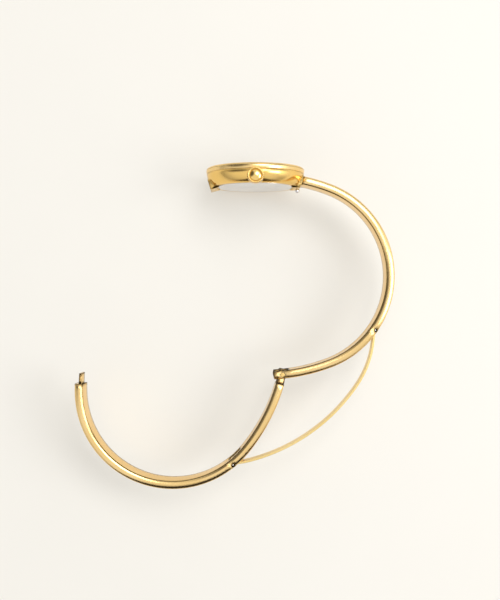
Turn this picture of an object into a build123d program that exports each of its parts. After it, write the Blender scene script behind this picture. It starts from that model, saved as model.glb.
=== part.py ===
from build123d import *
import os
from math import asin, atan2, cos, degrees, hypot, radians, sin, sqrt

os.makedirs("parts", exist_ok=True)

# Bangle watch, opened out and lying on its side, in millimetres.
# The origin is the centre of the case back's outer face. +Y runs out through the
# crystal, +Z along the winding stem to the crown, and +X to twelve o'clock.
# The bangle is laid out shut, as an oval, and its free half is then swung open.

# Oval of the shut bangle, and the band's section
oval_half_length = 29.85
oval_half_height = 23.35
oval_side_shortfall = 1.45
oval_centre_x = 2.2
oval_rise = 1.5
band_width = 6.5
band_thickness = 2.2
band_crown_rise = 0.25
band_edge_radius = 0.7

# Main hinge
hinge_from_centre = 4.45
hinge_depth = 1.05
hinge_pin_radius = 0.5
hinge_cheek_thickness = 0.65
hinge_cheek_reach = 2.25
hinge_end_gap = 0.12
hinge_relief_gap = 0.3
knuckle_thickness = 0.6
knuckle_reach = 1.2
knuckle_step = 0.05
knuckle_corner_radius = 0.3

# Bow spring, its two pins and the channel that it lies in
spring_arm_shortfall = 4.68
spring_pin_depth = 1.45
spring_pin_radius = 0.45
spring_pin_recess = 0.35
spring_pin_mouth = 0.12
spring_depth = 1.25
spring_width = 3.4
spring_thickness = 0.5
spring_eye_wall = 0.27
spring_hook_reach = 0.35
channel_floor = 0.45
channel_past_pin = 1.3

# Case
case_bottom = 0.1
case_bottom_wall = 2.1
case_middle_wall = 3.15
case_middle_height = 1.6
case_top_wall = 3.6
dial_seat_height = 2.45
dial_room = 0.85
dial_ledge = 0.95
lug_setback = 0.65
lug_right_setback = 0.4
lug_inner_step = 0.3
lug_outer_step = 0.3
lug_root_depth = 1.7
lug_foot_bottom = -0.3
lug_foot_top = 1.0
lug_foot_inward = 2.1
lug_foot_outward = 0.6

# Case back
back_ledge = 1.0
back_thickness = 0.3
back_edge_radius = 0.08
snap_wall_thickness = 0.4
snap_wall_height = 0.65
back_gasket_gap = 0.1
back_gasket_width = 0.4
back_gasket_height = 0.3

# Tongue of the free half and its slot in the case
tongue_length = 2.6
tongue_depth = 0.55
tongue_thickness = 0.55
tongue_half_width = 2.4
tongue_step_gap = 0.15
slot_inner_gap = 0.15
slot_outer_gap = 0.1

# Joint of the case and the fixed half, with its quick-release bar
socket_depth = 2.0
socket_half_width = 2.2
socket_bottom = 0.45
socket_top = 2.25
release_bar_setback = 1.3
release_bar_height = 1.3
release_bar_radius = 0.45
release_bar_wall = 0.14
release_bar_half_length = 2.1
release_bar_plug_length = 0.4
release_tip_length = 0.75
release_travel = 1.0
release_pin_inner_end = 0.6
release_knob_place = 1.55
release_knob_stem_radius = 0.18
release_knob_radius = 0.55
release_spring_turns = 6
release_wire_radius = 0.05

# Bezel and crystal
bezel_height = 1.45
bezel_overhang = 0.1
bezel_side_rise = 0.6
bezel_shoulder_inset = 0.3
bezel_shoulder_drop = 0.25
bezel_top_inset = 1.15
bezel_lip_inset = 0.35
bezel_lip_thickness = 0.55
bezel_bevel = 0.3
crystal_overlap = 0.4
crystal_thickness = 0.8
crystal_bevel = 0.15
crystal_gasket_height = 0.5
crystal_gasket_width = 0.35

# Dial side
dial_thickness = 0.2
dial_hole_radius = 0.65
dial_foot_radius = 0.3
dial_foot_length = 0.4
dial_foot_margin = 1.1
dial_foot_directions = (35.0, 215.0)
dial_ring_width = 0.8
marker_length = 1.5
marker_width = 0.32
marker_height = 0.12
marker_margin = 0.45
hand_thickness = 0.1
hour_hand_rise = 0.21
hand_gap = 0.1
hour_hand_shortfall = 1.7
minute_hand_shortfall = 0.9
hand_tail_length = 1.4
hand_root_width = 0.5
hand_tip_width = 0.24
hand_hub_radius = 0.75
hand_cap_radius = 0.45
hand_cap_height = 0.14
shown_hour = 10
shown_minute = 9

# Crown, its tube and the stem
stem_height = 1.35
crown_gap = 0.25
crown_length = 2.15
crown_radius = 1.57
crown_teeth = 28
crown_tooth_depth = 0.14
crown_edge_radius = 0.3
crown_face_dish = 0.15
crown_face_radius = 1.15
crown_pocket_radius = 1.05
crown_pocket_depth = 1.1
crown_bore_depth = 0.65
crown_gasket_length = 0.35
crown_gasket_place = 0.1
tube_radius = 0.75
tube_bore_radius = 0.45
tube_inset = 0.05
tube_reach = 0.85
stem_radius = 0.3
stem_inner_end = 2.9
stem_square_end = 4.7
stem_square_half = 0.19
stem_groove_start = 5.0
stem_groove_length = 0.5
stem_groove_radius = 0.16

# Clutch pinion and setting lever
clutch_radius = 0.5
clutch_teeth = 12
clutch_tooth_depth = 0.1
clutch_length = 0.6
clutch_place = 3.4
lever_arm = 1.2
crown_pull = 0.6
lever_back = 0.86
lever_thickness = 0.15
lever_half_width = 0.28
lever_boss_radius = 0.42
lever_pin_radius = 0.12
lever_pin_rise = 0.5
lever_stud_radius = 0.2

# Movement frame
movement_radius = 7.5
plate_back = 1.6
plate_recess_depth = 0.5
bridge_back = 0.85
bridge_thickness = 0.2
bridge_half_width = 0.45
bridge_pillar_radius = 0.5
bridge_pillar_near_direction = -50.0
bridge_pillar_far_distance = 1.5
bridge_pillar_far_direction = 215.0
screw_radius = 0.22
screw_length = 1.05
screw_head_radius = 0.4
screw_head_height = 0.14
screw_slot_width = 0.1
screw_slot_depth = 0.07
holder_wall = 0.9
holder_back = 0.98
holder_gap = 0.05
holder_stem_hole_radius = 0.5

# Going train, with directions counter-clockwise from three o'clock
train_module_share = 0.008
pinion_teeth = 8
centre_wheel_teeth = 48
third_wheel_teeth = 40
intermediate_wheel_teeth = 32
third_direction = 75.0
intermediate_direction = 120.0
rotor_direction = 150.0
wheel_thickness = 0.14
wheel_level_back = 1.12
wheel_level_front = 1.38
arbor_radius = 0.12
pivot_radius = 0.06
pivot_length = 0.18
centre_arbor_radius = 0.15
centre_arbor_end = 3.0
rotor_magnet_radius = 0.45
rotor_magnet_thickness = 0.16

# Motion work under the dial
motion_module = 0.07
cannon_teeth = 10
minute_wheel_teeth = 30
minute_pinion_teeth = 8
hour_wheel_teeth = 32
motion_thickness = 0.13
cannon_level = 2.0
hour_wheel_level = 2.2
minute_wheel_direction = -60.0
cannon_pipe_radius = 0.3
hour_pipe_radius = 0.5
motion_stud_radius = 0.1
motion_stud_end = 2.36

# Battery, coil and circuit
battery_rim = 0.08
battery_gap = 0.12
battery_back = 0.7
battery_step_inset = 0.4
battery_step_height = 0.2
battery_direction = 200.0
clamp_thickness = 0.1
clamp_half_width = 0.45
clamp_post_radius = 0.3
clamp_post_gap = 0.45
clamp_post_direction = 80.0
stator_leg_half_width = 0.3
stator_ring_wall = 0.23
stator_left_knee_shares = (-0.36, 0.587)
stator_right_knee_shares = (0.187, 0.593)
rotor_gap = 0.1
coil_height = 1.28
coil_radius = 0.46
coil_half_length = 1.55
coil_flange_radius = 0.56
coil_flange_thickness = 0.12
coil_place_shares = (-0.08, 0.74)
core_half_length = 2.45
core_half_width = 0.24
core_thickness = 0.2
circuit_thickness = 0.15
circuit_inner_share = 0.36
circuit_margin = 0.3
circuit_start = -92.0
circuit_end = -14.0
chip_side = 1.4
chip_height = 0.35
chip_distance_share = 0.547
chip_direction = -66.0
can_radius = 0.4
can_length = 2.9
can_distance_share = 0.747
can_direction = -40.0

# Fits and overruns
running_gap = 0.03
slide_gap = 0.08
side_gap = 0.1
cut_overrun = 1.0

# Radii of the movement, then of the case round it, each from the one inside it
train_module = movement_radius * train_module_share
centre_wheel_tip = train_module * (centre_wheel_teeth / 2 + 1)
battery_radius = (movement_radius - battery_rim - battery_gap - centre_wheel_tip) / 2
battery_distance = centre_wheel_tip + battery_gap + battery_radius
battery_step_radius = battery_radius - battery_step_inset
clamp_post_distance = battery_radius + clamp_post_gap
bridge_pillar_near_distance = centre_wheel_tip + bridge_pillar_radius + side_gap
coil_place = (movement_radius * coil_place_shares[0], movement_radius * coil_place_shares[1])
stator_left_knee = (movement_radius * stator_left_knee_shares[0],
                    movement_radius * stator_left_knee_shares[1])
stator_right_knee = (movement_radius * stator_right_knee_shares[0],
                     movement_radius * stator_right_knee_shares[1])
circuit_inner_radius = movement_radius * circuit_inner_share
circuit_outer_radius = movement_radius - circuit_margin
chip_distance = movement_radius * chip_distance_share
can_distance = movement_radius * can_distance_share
case_cavity_radius = movement_radius + holder_wall
case_bottom_radius = case_cavity_radius + case_bottom_wall
case_middle_radius = case_cavity_radius + case_middle_wall
case_top_radius = case_cavity_radius + case_top_wall
dial_cavity_radius = case_cavity_radius + dial_ledge
back_radius = case_cavity_radius + back_ledge

# Heights and radii of the dial side and the bezel
plate_recess_floor = dial_seat_height - plate_recess_depth
case_top = dial_seat_height + dial_room
bezel_top = case_top + bezel_height
bezel_side_radius = case_top_radius + bezel_overhang
bezel_side_height = case_top + bezel_side_rise
bezel_shoulder_radius = bezel_side_radius - bezel_shoulder_inset
bezel_shoulder_height = bezel_top - bezel_shoulder_drop
bezel_top_radius = bezel_side_radius - bezel_top_inset
bezel_lip_radius = dial_cavity_radius - bezel_lip_inset
crystal_radius = bezel_lip_radius + crystal_overlap
bezel_bore_radius = crystal_radius + crystal_gasket_width
dial_ring_bottom_radius = dial_cavity_radius - dial_ring_width
marker_outer_radius = dial_ring_bottom_radius - marker_margin
dial_foot_distance = movement_radius - dial_foot_margin
hour_hand_height = dial_seat_height + dial_thickness + hour_hand_rise
minute_hand_height = hour_hand_height + hand_thickness + hand_gap
hour_hand_length = marker_outer_radius - marker_length - hour_hand_shortfall
minute_hand_length = marker_outer_radius - minute_hand_shortfall

# Places along the twelve o'clock and three o'clock directions
lug_distance = case_top_radius - lug_setback
lug_right_distance = case_top_radius - lug_right_setback
lug_root = case_bottom_radius - lug_root_depth
release_bar_x = lug_right_distance - release_bar_setback
lug_foot_start = release_bar_x - lug_foot_inward
lug_foot_end = release_bar_x + lug_foot_outward
socket_start = lug_right_distance - socket_depth
crown_back = bezel_side_radius + crown_gap
tube_inner_end = case_cavity_radius + tube_inset
tube_outer_end = crown_back + tube_reach
lever_swing = 2 * degrees(asin(crown_pull / (2 * lever_arm)))

# Shape of the oval, worked out from its half axes and side radius
oval_side_radius = oval_half_height - oval_side_shortfall
oval_drop = oval_half_height - oval_rise
spring_arm = oval_half_length - spring_arm_shortfall
oval_end_radius = ((oval_half_length**2 + oval_half_height**2
                    - 2 * oval_half_length * oval_side_radius)
                   / (2 * (oval_half_height - oval_side_radius)))
side_offset = oval_half_length - oval_side_radius
end_offset = oval_end_radius - oval_half_height
join_angle = degrees(atan2(end_offset, side_offset))
top_centre = (oval_centre_x, -oval_drop - end_offset)
bottom_centre = (oval_centre_x, -oval_drop + end_offset)
right_centre = (oval_centre_x + side_offset, -oval_drop)
left_centre = (oval_centre_x - side_offset, -oval_drop)


def polar(centre, radius, angle):
    """Point at a radius and an angle in degrees from a centre."""
    return (centre[0] + radius * cos(radians(angle)), centre[1] + radius * sin(radians(angle)))


def circles_meet(centre_a, radius_a, centre_b, radius_b):
    """Point where two circles cross, on the right of the line from a to b."""
    along = hypot(centre_b[0] - centre_a[0], centre_b[1] - centre_a[1])
    forward = (radius_a**2 - radius_b**2 + along**2) / (2 * along)
    aside = sqrt(radius_a**2 - forward**2)
    unit = ((centre_b[0] - centre_a[0]) / along, (centre_b[1] - centre_a[1]) / along)
    return (centre_a[0] + unit[0] * forward + unit[1] * aside,
            centre_a[1] + unit[1] * forward - unit[0] * aside)


def angle_of(centre, point):
    """Angle in degrees, from 0 to 360, of a point seen from a centre."""
    return degrees(atan2(point[1] - centre[1], point[0] - centre[0])) % 360


# Places of the hinge pins and the two spring pins while the bangle is shut. The
# spring pins are equally far from the hinge, so that the spring is relaxed both
# when the bangle is shut and when it is fully open.
hinge_radius = oval_end_radius + hinge_depth
hinge_angle = 270 + degrees(asin(hinge_from_centre / hinge_radius))
hinge_point = polar(bottom_centre, hinge_radius, hinge_angle)
spring_pin_side_radius = oval_side_radius + spring_pin_depth
right_pin_point = circles_meet(hinge_point, spring_arm, right_centre, spring_pin_side_radius)
mirrored_left_centre = (2 * hinge_point[0] - left_centre[0], left_centre[1])
mirrored_left_pin = circles_meet(hinge_point, spring_arm, mirrored_left_centre, spring_pin_side_radius)
left_pin_point = (2 * hinge_point[0] - mirrored_left_pin[0], mirrored_left_pin[1])
right_pin_angle = angle_of(right_centre, right_pin_point) - 360
left_pin_angle = angle_of(left_centre, left_pin_point)
shut_pin_angle = (angle_of(hinge_point, left_pin_point) - angle_of(hinge_point, right_pin_point)) % 360
open_angle = 2 * (180 - shut_pin_angle)
hinge_axis = Axis((hinge_point[0], hinge_point[1], 0), (0, 0, 1))
right_pin_axis = Axis((right_pin_point[0], right_pin_point[1], 0), (0, 0, 1))
hinge_tilt = hinge_angle - 270
hinge_plane = Plane(origin=(hinge_point[0], hinge_point[1], 0),
                    x_dir=(cos(radians(hinge_tilt)), sin(radians(hinge_tilt)), 0), z_dir=(0, 0, 1))

# Ends of the two halves and of the case's lugs on the top arc
band_middle_radius = oval_end_radius + band_thickness / 2
lug_left_angle = 90 + degrees(asin((lug_distance + oval_centre_x) / band_middle_radius))
lug_right_angle = 90 - degrees(asin((lug_right_distance - oval_centre_x) / band_middle_radius))
left_end_angle = lug_left_angle + degrees(tongue_step_gap / band_middle_radius)
lug_root_left_angle = 90 + degrees(asin((lug_root + oval_centre_x) / band_middle_radius))
lug_root_right_angle = 90 - degrees(asin((lug_root - oval_centre_x) / band_middle_radius))
tongue_angle = degrees(tongue_length / band_middle_radius)
overrun_angle = degrees(cut_overrun / band_middle_radius)
band_half_width = band_width / 2
hinge_overrun = degrees((hinge_cheek_reach + cut_overrun) / oval_end_radius)


def section_plane(centre, angle):
    """Plane through a centre whose local X is radial and whose local Y is +Z."""
    return Plane(origin=(centre[0], centre[1], 0),
                 x_dir=(cos(radians(angle)), sin(radians(angle)), 0),
                 z_dir=(sin(radians(angle)), -cos(radians(angle)), 0))


def band_section(plane, near, far):
    """Section of the band: flat inside, upright sides and a crowned, rounded outside."""
    shoulder = far - band_crown_rise
    with BuildSketch(plane) as section:
        with BuildLine():
            Polyline((shoulder, band_half_width), (near, band_half_width),
                     (near, -band_half_width), (shoulder, -band_half_width))
            ThreePointArc((shoulder, -band_half_width), (far, 0), (shoulder, band_half_width))
        make_face()
        fillet(section.vertices().group_by(Axis.X)[-1], band_edge_radius)
    return section.sketch


def box_section(plane, near, far, half_width):
    """Plain rectangular section between two radii."""
    with BuildSketch(plane) as section:
        with Locations(((near + far) / 2, 0)):
            Rectangle(far - near, 2 * half_width)
    return section.sketch


def turn(section, centre, arc, mode=Mode.ADD):
    """Turn a section about a centre through an arc in degrees."""
    revolve(section, axis=Axis((centre[0], centre[1], 0), (0, 0, 1)), revolution_arc=arc, mode=mode)


def band_stretch(centre, radius, start, end, inner_step=0, outer_step=0, mode=Mode.ADD):
    """One arc of the band, with steps that make it thicker on either side."""
    section = band_section(section_plane(centre, start), radius - inner_step,
                           radius + band_thickness + outer_step)
    turn(section, centre, end - start, mode)


def box_stretch(centre, span, half_width, start, end, mode=Mode.ADD):
    """One arc of plain rectangular section, between the two radii of a span."""
    turn(box_section(section_plane(centre, start), span[0], span[1], half_width), centre, end - start, mode)


def face_plane(height):
    """Plane across the head: local X to three o'clock, local Y to twelve o'clock."""
    return Plane(origin=(0, height, 0), x_dir=(0, 0, 1), z_dir=(0, 1, 0))


def up_plane(point, place=0):
    """Plane at a level in Z, centred on a point of the band's own plane."""
    return Plane(origin=(point[0], point[1], place))


def disc(plane, radius, hole=0, place=(0, 0)):
    """Round face at a place of a plane, with a round hole where one is given."""
    with BuildSketch(plane) as face:
        with Locations(place):
            Circle(radius)
            if hole:
                Circle(hole, mode=Mode.SUBTRACT)
    return face.sketch


def post(place, back, front, radius, hole=0, mode=Mode.ADD):
    """Round post or hole along the head's axis, between two heights."""
    extrude(disc(face_plane(back), radius, hole, place), amount=front - back, mode=mode)


def turned(*corners):
    """Ring turned about the head's axis from corners in radius and height."""
    with BuildSketch(Plane.XY) as profile:
        with BuildLine():
            Polyline(*corners, close=True)
        make_face()
    revolve(profile.sketch, axis=Axis.Y)


def capsule_face(plane, first, second, half_width):
    """Flat bar with round ends between two places of a plane."""
    length = hypot(second[0] - first[0], second[1] - first[1])
    middle = ((first[0] + second[0]) / 2, (first[1] + second[1]) / 2)
    slant = degrees(atan2(second[1] - first[1], second[0] - first[0]))
    with BuildSketch(plane) as face:
        with Locations(middle):
            SlotCenterToCenter(length, 2 * half_width, rotation=slant)
    return face.sketch


def gear(place, back, thickness, teeth, module, tooth_at, hole=0):
    """Spur gear of straight-flanked teeth, with one tooth centred at a given direction."""
    pitch_radius = module * teeth / 2
    pitch = 360 / teeth
    corner_shares = ((-0.3, -1.1), (-0.13, 0.9), (0.13, 0.9), (0.3, -1.1))
    corners = [polar((0, 0), pitch_radius + rise * module, tooth_at + (tooth + along) * pitch)
               for tooth in range(teeth) for along, rise in corner_shares]
    with BuildSketch(face_plane(back)) as face:
        with Locations(place):
            Polygon(*corners, align=None)
            if hole:
                Circle(hole, mode=Mode.SUBTRACT)
    extrude(face.sketch, amount=thickness)


# Spans in radius that several pieces share
bottom_channel = (oval_end_radius + channel_floor, oval_end_radius + band_thickness + cut_overrun)
side_channel = (oval_side_radius + channel_floor, oval_side_radius + band_thickness + cut_overrun)
tongue_span = (oval_end_radius + tongue_depth, oval_end_radius + tongue_depth + tongue_thickness)
slot_span = (tongue_span[0] - slot_inner_gap, tongue_span[1] + slot_outer_gap)
channel_half_width = spring_width / 2 + side_gap
eye_bore = spring_pin_radius + running_gap
eye_radius = eye_bore + spring_eye_wall
channel_past_angle = degrees(channel_past_pin / spring_pin_side_radius)
hook_travel = 2 * spring_arm - hypot(left_pin_point[0] - right_pin_point[0],
                                     left_pin_point[1] - right_pin_point[1])
hook_window_span = (oval_side_radius - cut_overrun, oval_side_radius + spring_depth)
hook_window_angle = degrees((hook_travel + eye_radius + spring_hook_reach) / oval_side_radius)

# The hinge's leaves: outer cheeks on the fixed half, knuckles between them on the free half
cheek_inner = band_half_width - hinge_cheek_thickness
knuckle_outer = cheek_inner - slide_gap
knuckle_inner = knuckle_outer - knuckle_thickness
knuckle_inner_depth = hinge_depth - knuckle_step
knuckle_outer_depth = band_thickness - hinge_depth - band_crown_rise - knuckle_step
left_end_distance = hinge_cheek_reach + hinge_end_gap
knuckle_span = (-left_end_distance - side_gap, knuckle_reach)
hinge_cut_reach = 2 * (hinge_cheek_reach + cut_overrun)
hinge_cut_height = 2 * (band_thickness + cut_overrun)
relief_radius = hypot(knuckle_reach, knuckle_inner_depth) + hinge_relief_gap

# The quick-release bar's slot and tips
release_slot_half_width = release_knob_stem_radius + running_gap
release_bore_radius = release_bar_radius - release_bar_wall
release_pin_radius = release_bore_radius - running_gap
release_point = (release_bar_x, release_bar_height)


def release_slot(depth):
    """Slot for the knob's stem, from the bar's axis towards the wrist."""
    with BuildSketch(face_plane(release_bar_height)) as slot:
        with Locations((release_knob_place - release_travel / 2, release_bar_x)):
            SlotOverall(release_travel + 2 * release_slot_half_width, 2 * release_slot_half_width)
    extrude(slot.sketch, amount=-depth, mode=Mode.SUBTRACT)


def pin_mouths(point):
    """Chamfered mouths of a spring pin's hole, in the band's two sides."""
    for side in (1, -1):
        outer = disc(up_plane(point, side * band_half_width), spring_pin_radius + spring_pin_mouth)
        inner = disc(up_plane(point, side * (band_half_width - spring_pin_mouth)), spring_pin_radius)
        loft([inner.faces()[0], outer.faces()[0]], mode=Mode.SUBTRACT)


with BuildPart() as right_half:
    band_stretch(bottom_centre, oval_end_radius, hinge_angle - hinge_overrun, 360 - join_angle)
    band_stretch(right_centre, oval_side_radius, -join_angle, join_angle)
    band_stretch(top_centre, oval_end_radius, join_angle, lug_right_angle)
    box_stretch(bottom_centre, bottom_channel, channel_half_width,
                hinge_angle - hinge_overrun, 360 - join_angle, Mode.SUBTRACT)
    box_stretch(right_centre, side_channel, channel_half_width,
                -join_angle, right_pin_angle + channel_past_angle, Mode.SUBTRACT)
    with BuildSketch(hinge_plane) as beyond_cheeks:
        with Locations((-hinge_cut_reach / 2, 0)):
            Rectangle(hinge_cut_reach, hinge_cut_height)
        Circle(hinge_cheek_reach, mode=Mode.SUBTRACT)
    extrude(beyond_cheeks.sketch, amount=band_width, both=True, mode=Mode.SUBTRACT)
    with BuildSketch(hinge_plane) as knuckle_room:
        with Locations((-hinge_cut_reach / 2, 0)):
            Rectangle(hinge_cut_reach, hinge_cut_height)
        Circle(relief_radius)
    extrude(knuckle_room.sketch, amount=cheek_inner, both=True, mode=Mode.SUBTRACT)
    extrude(disc(up_plane(hinge_point), hinge_pin_radius), amount=band_width, both=True, mode=Mode.SUBTRACT)
    extrude(disc(up_plane(right_pin_point), spring_pin_radius), amount=band_width, both=True,
            mode=Mode.SUBTRACT)
    pin_mouths(right_pin_point)
    block_start = socket_start + running_gap
    block_end = polar(top_centre, band_middle_radius, lug_right_angle)[0]
    with BuildSketch(Plane.XY) as tongue_block:
        with Locations(((block_start + block_end) / 2, (socket_bottom + socket_top) / 2)):
            Rectangle(block_end - block_start, socket_top - socket_bottom - 2 * running_gap)
        fillet(tongue_block.vertices().group_by(Axis.X)[0], (socket_top - socket_bottom) / 4)
    extrude(tongue_block.sketch, amount=socket_half_width - running_gap, both=True)
    extrude(disc(up_plane(release_point), release_bar_radius), amount=band_width, both=True,
            mode=Mode.SUBTRACT)
    release_slot(band_thickness)
right_half.part.label = "right_half"
export_step(right_half.part, "parts/right_half.step")

with BuildPart() as shut_left_half:
    band_stretch(bottom_centre, oval_end_radius, 180 + join_angle, hinge_angle + hinge_overrun)
    band_stretch(left_centre, oval_side_radius, 180 - join_angle, 180 + join_angle)
    band_stretch(top_centre, oval_end_radius, left_end_angle, 180 - join_angle)
    box_stretch(bottom_centre, bottom_channel, channel_half_width,
                180 + join_angle, hinge_angle + hinge_overrun, Mode.SUBTRACT)
    box_stretch(left_centre, side_channel, channel_half_width,
                left_pin_angle - channel_past_angle, 180 + join_angle, Mode.SUBTRACT)
    with BuildSketch(hinge_plane) as beyond_end:
        with Locations((hinge_cut_reach / 2 - left_end_distance, 0)):
            Rectangle(hinge_cut_reach, hinge_cut_height)
    extrude(beyond_end.sketch, amount=band_width, both=True, mode=Mode.SUBTRACT)
    for side in (1, -1):
        with BuildSketch(hinge_plane.offset(side * (knuckle_outer + knuckle_inner) / 2)) as knuckle:
            with Locations((sum(knuckle_span) / 2, (knuckle_inner_depth - knuckle_outer_depth) / 2)):
                Rectangle(knuckle_span[1] - knuckle_span[0], knuckle_inner_depth + knuckle_outer_depth)
            fillet(knuckle.vertices().group_by(Axis.X)[-1], knuckle_corner_radius)
        extrude(knuckle.sketch, amount=knuckle_thickness / 2, both=True)
    extrude(disc(up_plane(hinge_point), hinge_pin_radius + running_gap), amount=band_width, both=True,
            mode=Mode.SUBTRACT)
    extrude(disc(up_plane(left_pin_point), spring_pin_radius), amount=band_width, both=True,
            mode=Mode.SUBTRACT)
    pin_mouths(left_pin_point)
    box_stretch(left_centre, hook_window_span, channel_half_width, left_pin_angle,
                left_pin_angle + hook_window_angle, Mode.SUBTRACT)
    box_stretch(top_centre, tongue_span, tongue_half_width, left_end_angle - tongue_angle, left_end_angle)

with BuildPart() as left_half:
    add(shut_left_half.part.rotate(hinge_axis, open_angle))
left_half.part.label = "left_half"
export_step(left_half.part, "parts/left_half.step")

with BuildPart() as hinge_pins:
    for side in (1, -1):
        extrude(disc(up_plane(hinge_point, side * knuckle_inner), hinge_pin_radius),
                amount=side * (band_half_width - knuckle_inner))
hinge_pins.part.label = "hinge_pins"
export_step(hinge_pins.part, "parts/hinge_pins.step")

spring_pin_half_length = band_half_width - spring_pin_recess

with BuildPart() as right_spring_pin:
    extrude(disc(up_plane(right_pin_point), spring_pin_radius), amount=spring_pin_half_length, both=True)
right_spring_pin.part.label = "right_spring_pin"
export_step(right_spring_pin.part, "parts/right_spring_pin.step")

with BuildPart() as shut_left_pin:
    extrude(disc(up_plane(left_pin_point), spring_pin_radius), amount=spring_pin_half_length, both=True)

with BuildPart() as left_spring_pin:
    add(shut_left_pin.part.rotate(hinge_axis, open_angle))
left_spring_pin.part.label = "left_spring_pin"
export_step(left_spring_pin.part, "parts/left_spring_pin.step")

spring_half_width = spring_width / 2
bottom_spring = (oval_end_radius + spring_depth - spring_thickness / 2,
                 oval_end_radius + spring_depth + spring_thickness / 2)
side_spring = (oval_side_radius + spring_depth - spring_thickness / 2,
               oval_side_radius + spring_depth + spring_thickness / 2)
chord_tilt = degrees(atan2(left_pin_point[1] - right_pin_point[1], left_pin_point[0] - right_pin_point[0]))
hook_plane = Plane(origin=(left_pin_point[0], left_pin_point[1], 0),
                   x_dir=(cos(radians(chord_tilt)), sin(radians(chord_tilt)), 0), z_dir=(0, 0, 1))

with BuildPart() as shut_spring:
    box_stretch(left_centre, side_spring, spring_half_width, left_pin_angle, 180 + join_angle)
    box_stretch(bottom_centre, bottom_spring, spring_half_width, 180 + join_angle, 360 - join_angle)
    box_stretch(right_centre, side_spring, spring_half_width, -join_angle, right_pin_angle)
    for point in (left_pin_point, right_pin_point):
        extrude(disc(up_plane(point), eye_radius), amount=spring_half_width, both=True)
    for point in (left_pin_point, right_pin_point):
        extrude(disc(up_plane(point), eye_bore), amount=band_width, both=True, mode=Mode.SUBTRACT)
    with BuildSketch(hook_plane) as hook_mouth:
        with Locations((eye_radius, 0)):
            Rectangle(2 * eye_radius, 2 * eye_bore)
        with Locations((spring_hook_reach + eye_radius, 0)):
            Rectangle(2 * eye_radius, 2 * eye_radius + 2 * cut_overrun)
    extrude(hook_mouth.sketch, amount=band_width, both=True, mode=Mode.SUBTRACT)

with BuildPart() as bow_spring:
    add(shut_spring.part.rotate(right_pin_axis, open_angle / 2))
bow_spring.part.label = "bow_spring"
export_step(bow_spring.part, "parts/bow_spring.step")

lug_outer_reach = case_top_radius + cut_overrun
gasket_inner_radius = case_cavity_radius + back_gasket_gap
gasket_outer_radius = gasket_inner_radius + back_gasket_width
gasket_top = back_thickness + back_gasket_height
origin_place = (0, 0)

with BuildPart() as case:
    with BuildSketch(Plane.XY) as wall:
        with BuildLine():
            Line((0, case_bottom), (case_bottom_radius, case_bottom))
            ThreePointArc((case_bottom_radius, case_bottom), (case_middle_radius, case_middle_height),
                          (case_top_radius, case_top))
            Polyline((case_top_radius, case_top), (0, case_top), (0, case_bottom))
        make_face()
    revolve(wall.sketch, axis=Axis.Y)
    band_stretch(top_centre, oval_end_radius, lug_root_left_angle, lug_left_angle,
                 lug_inner_step, lug_outer_step)
    band_stretch(top_centre, oval_end_radius, lug_right_angle, lug_root_right_angle,
                 lug_inner_step, lug_outer_step)
    with BuildSketch(Plane.XY) as foot:
        with Locations(((lug_foot_start + lug_foot_end) / 2, (lug_foot_bottom + lug_foot_top) / 2)):
            Rectangle(lug_foot_end - lug_foot_start, lug_foot_top - lug_foot_bottom)
    extrude(foot.sketch, amount=band_half_width, both=True)
    post(origin_place, case_top, case_top + cut_overrun, lug_outer_reach, mode=Mode.SUBTRACT)
    post(origin_place, back_thickness - band_thickness, back_thickness, back_radius, mode=Mode.SUBTRACT)
    post(origin_place, back_thickness, dial_seat_height, case_cavity_radius, mode=Mode.SUBTRACT)
    post(origin_place, dial_seat_height, case_top, dial_cavity_radius, mode=Mode.SUBTRACT)
    post(origin_place, back_thickness, gasket_top, gasket_outer_radius, mode=Mode.SUBTRACT)
    turned((gasket_inner_radius, back_thickness), (gasket_inner_radius, gasket_top),
           (case_cavity_radius, gasket_top), (case_cavity_radius, back_thickness))
    extrude(disc(up_plane((0, stem_height), case_cavity_radius - cut_overrun), tube_radius),
            amount=case_top_radius, mode=Mode.SUBTRACT)
    box_stretch(top_centre, slot_span, tongue_half_width + side_gap,
                left_end_angle - tongue_angle - degrees(tongue_step_gap / band_middle_radius),
                lug_left_angle + overrun_angle, Mode.SUBTRACT)
    band_stretch(top_centre, oval_end_radius, lug_right_angle - overrun_angle, lug_right_angle,
                 mode=Mode.SUBTRACT)
    with BuildSketch(Plane.XY) as socket:
        with Locations(((socket_start + lug_outer_reach) / 2, (socket_bottom + socket_top) / 2)):
            Rectangle(lug_outer_reach - socket_start, socket_top - socket_bottom)
    extrude(socket.sketch, amount=socket_half_width, both=True, mode=Mode.SUBTRACT)
    extrude(disc(up_plane(release_point), release_pin_radius + running_gap),
            amount=release_bar_half_length + release_tip_length + running_gap, both=True,
            mode=Mode.SUBTRACT)
    release_slot(band_thickness)
case.part.label = "case"
export_step(case.part, "parts/case.step")

with BuildPart() as case_back:
    post(origin_place, 0, back_thickness, back_radius)
    fillet(case_back.edges().group_by(Axis.Y)[0], back_edge_radius)
    post(origin_place, back_thickness, back_thickness + snap_wall_height, case_cavity_radius,
         case_cavity_radius - snap_wall_thickness)
case_back.part.label = "case_back"
export_step(case_back.part, "parts/case_back.step")

with BuildPart() as case_back_gasket:
    post(origin_place, back_thickness, gasket_top, gasket_outer_radius, gasket_inner_radius)
case_back_gasket.part.label = "case_back_gasket"
export_step(case_back_gasket.part, "parts/case_back_gasket.step")

with BuildPart() as release_bar:
    extrude(disc(up_plane(release_point), release_bar_radius), amount=release_bar_half_length, both=True)
    extrude(disc(up_plane(release_point, release_bar_plug_length - release_bar_half_length),
                 release_bore_radius), amount=2 * release_bar_half_length, mode=Mode.SUBTRACT)
    extrude(disc(up_plane(release_point, -release_bar_half_length), release_pin_radius),
            amount=-release_tip_length)
    release_slot(band_thickness)
release_bar.part.label = "release_bar"
export_step(release_bar.part, "parts/release_bar.step")

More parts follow.
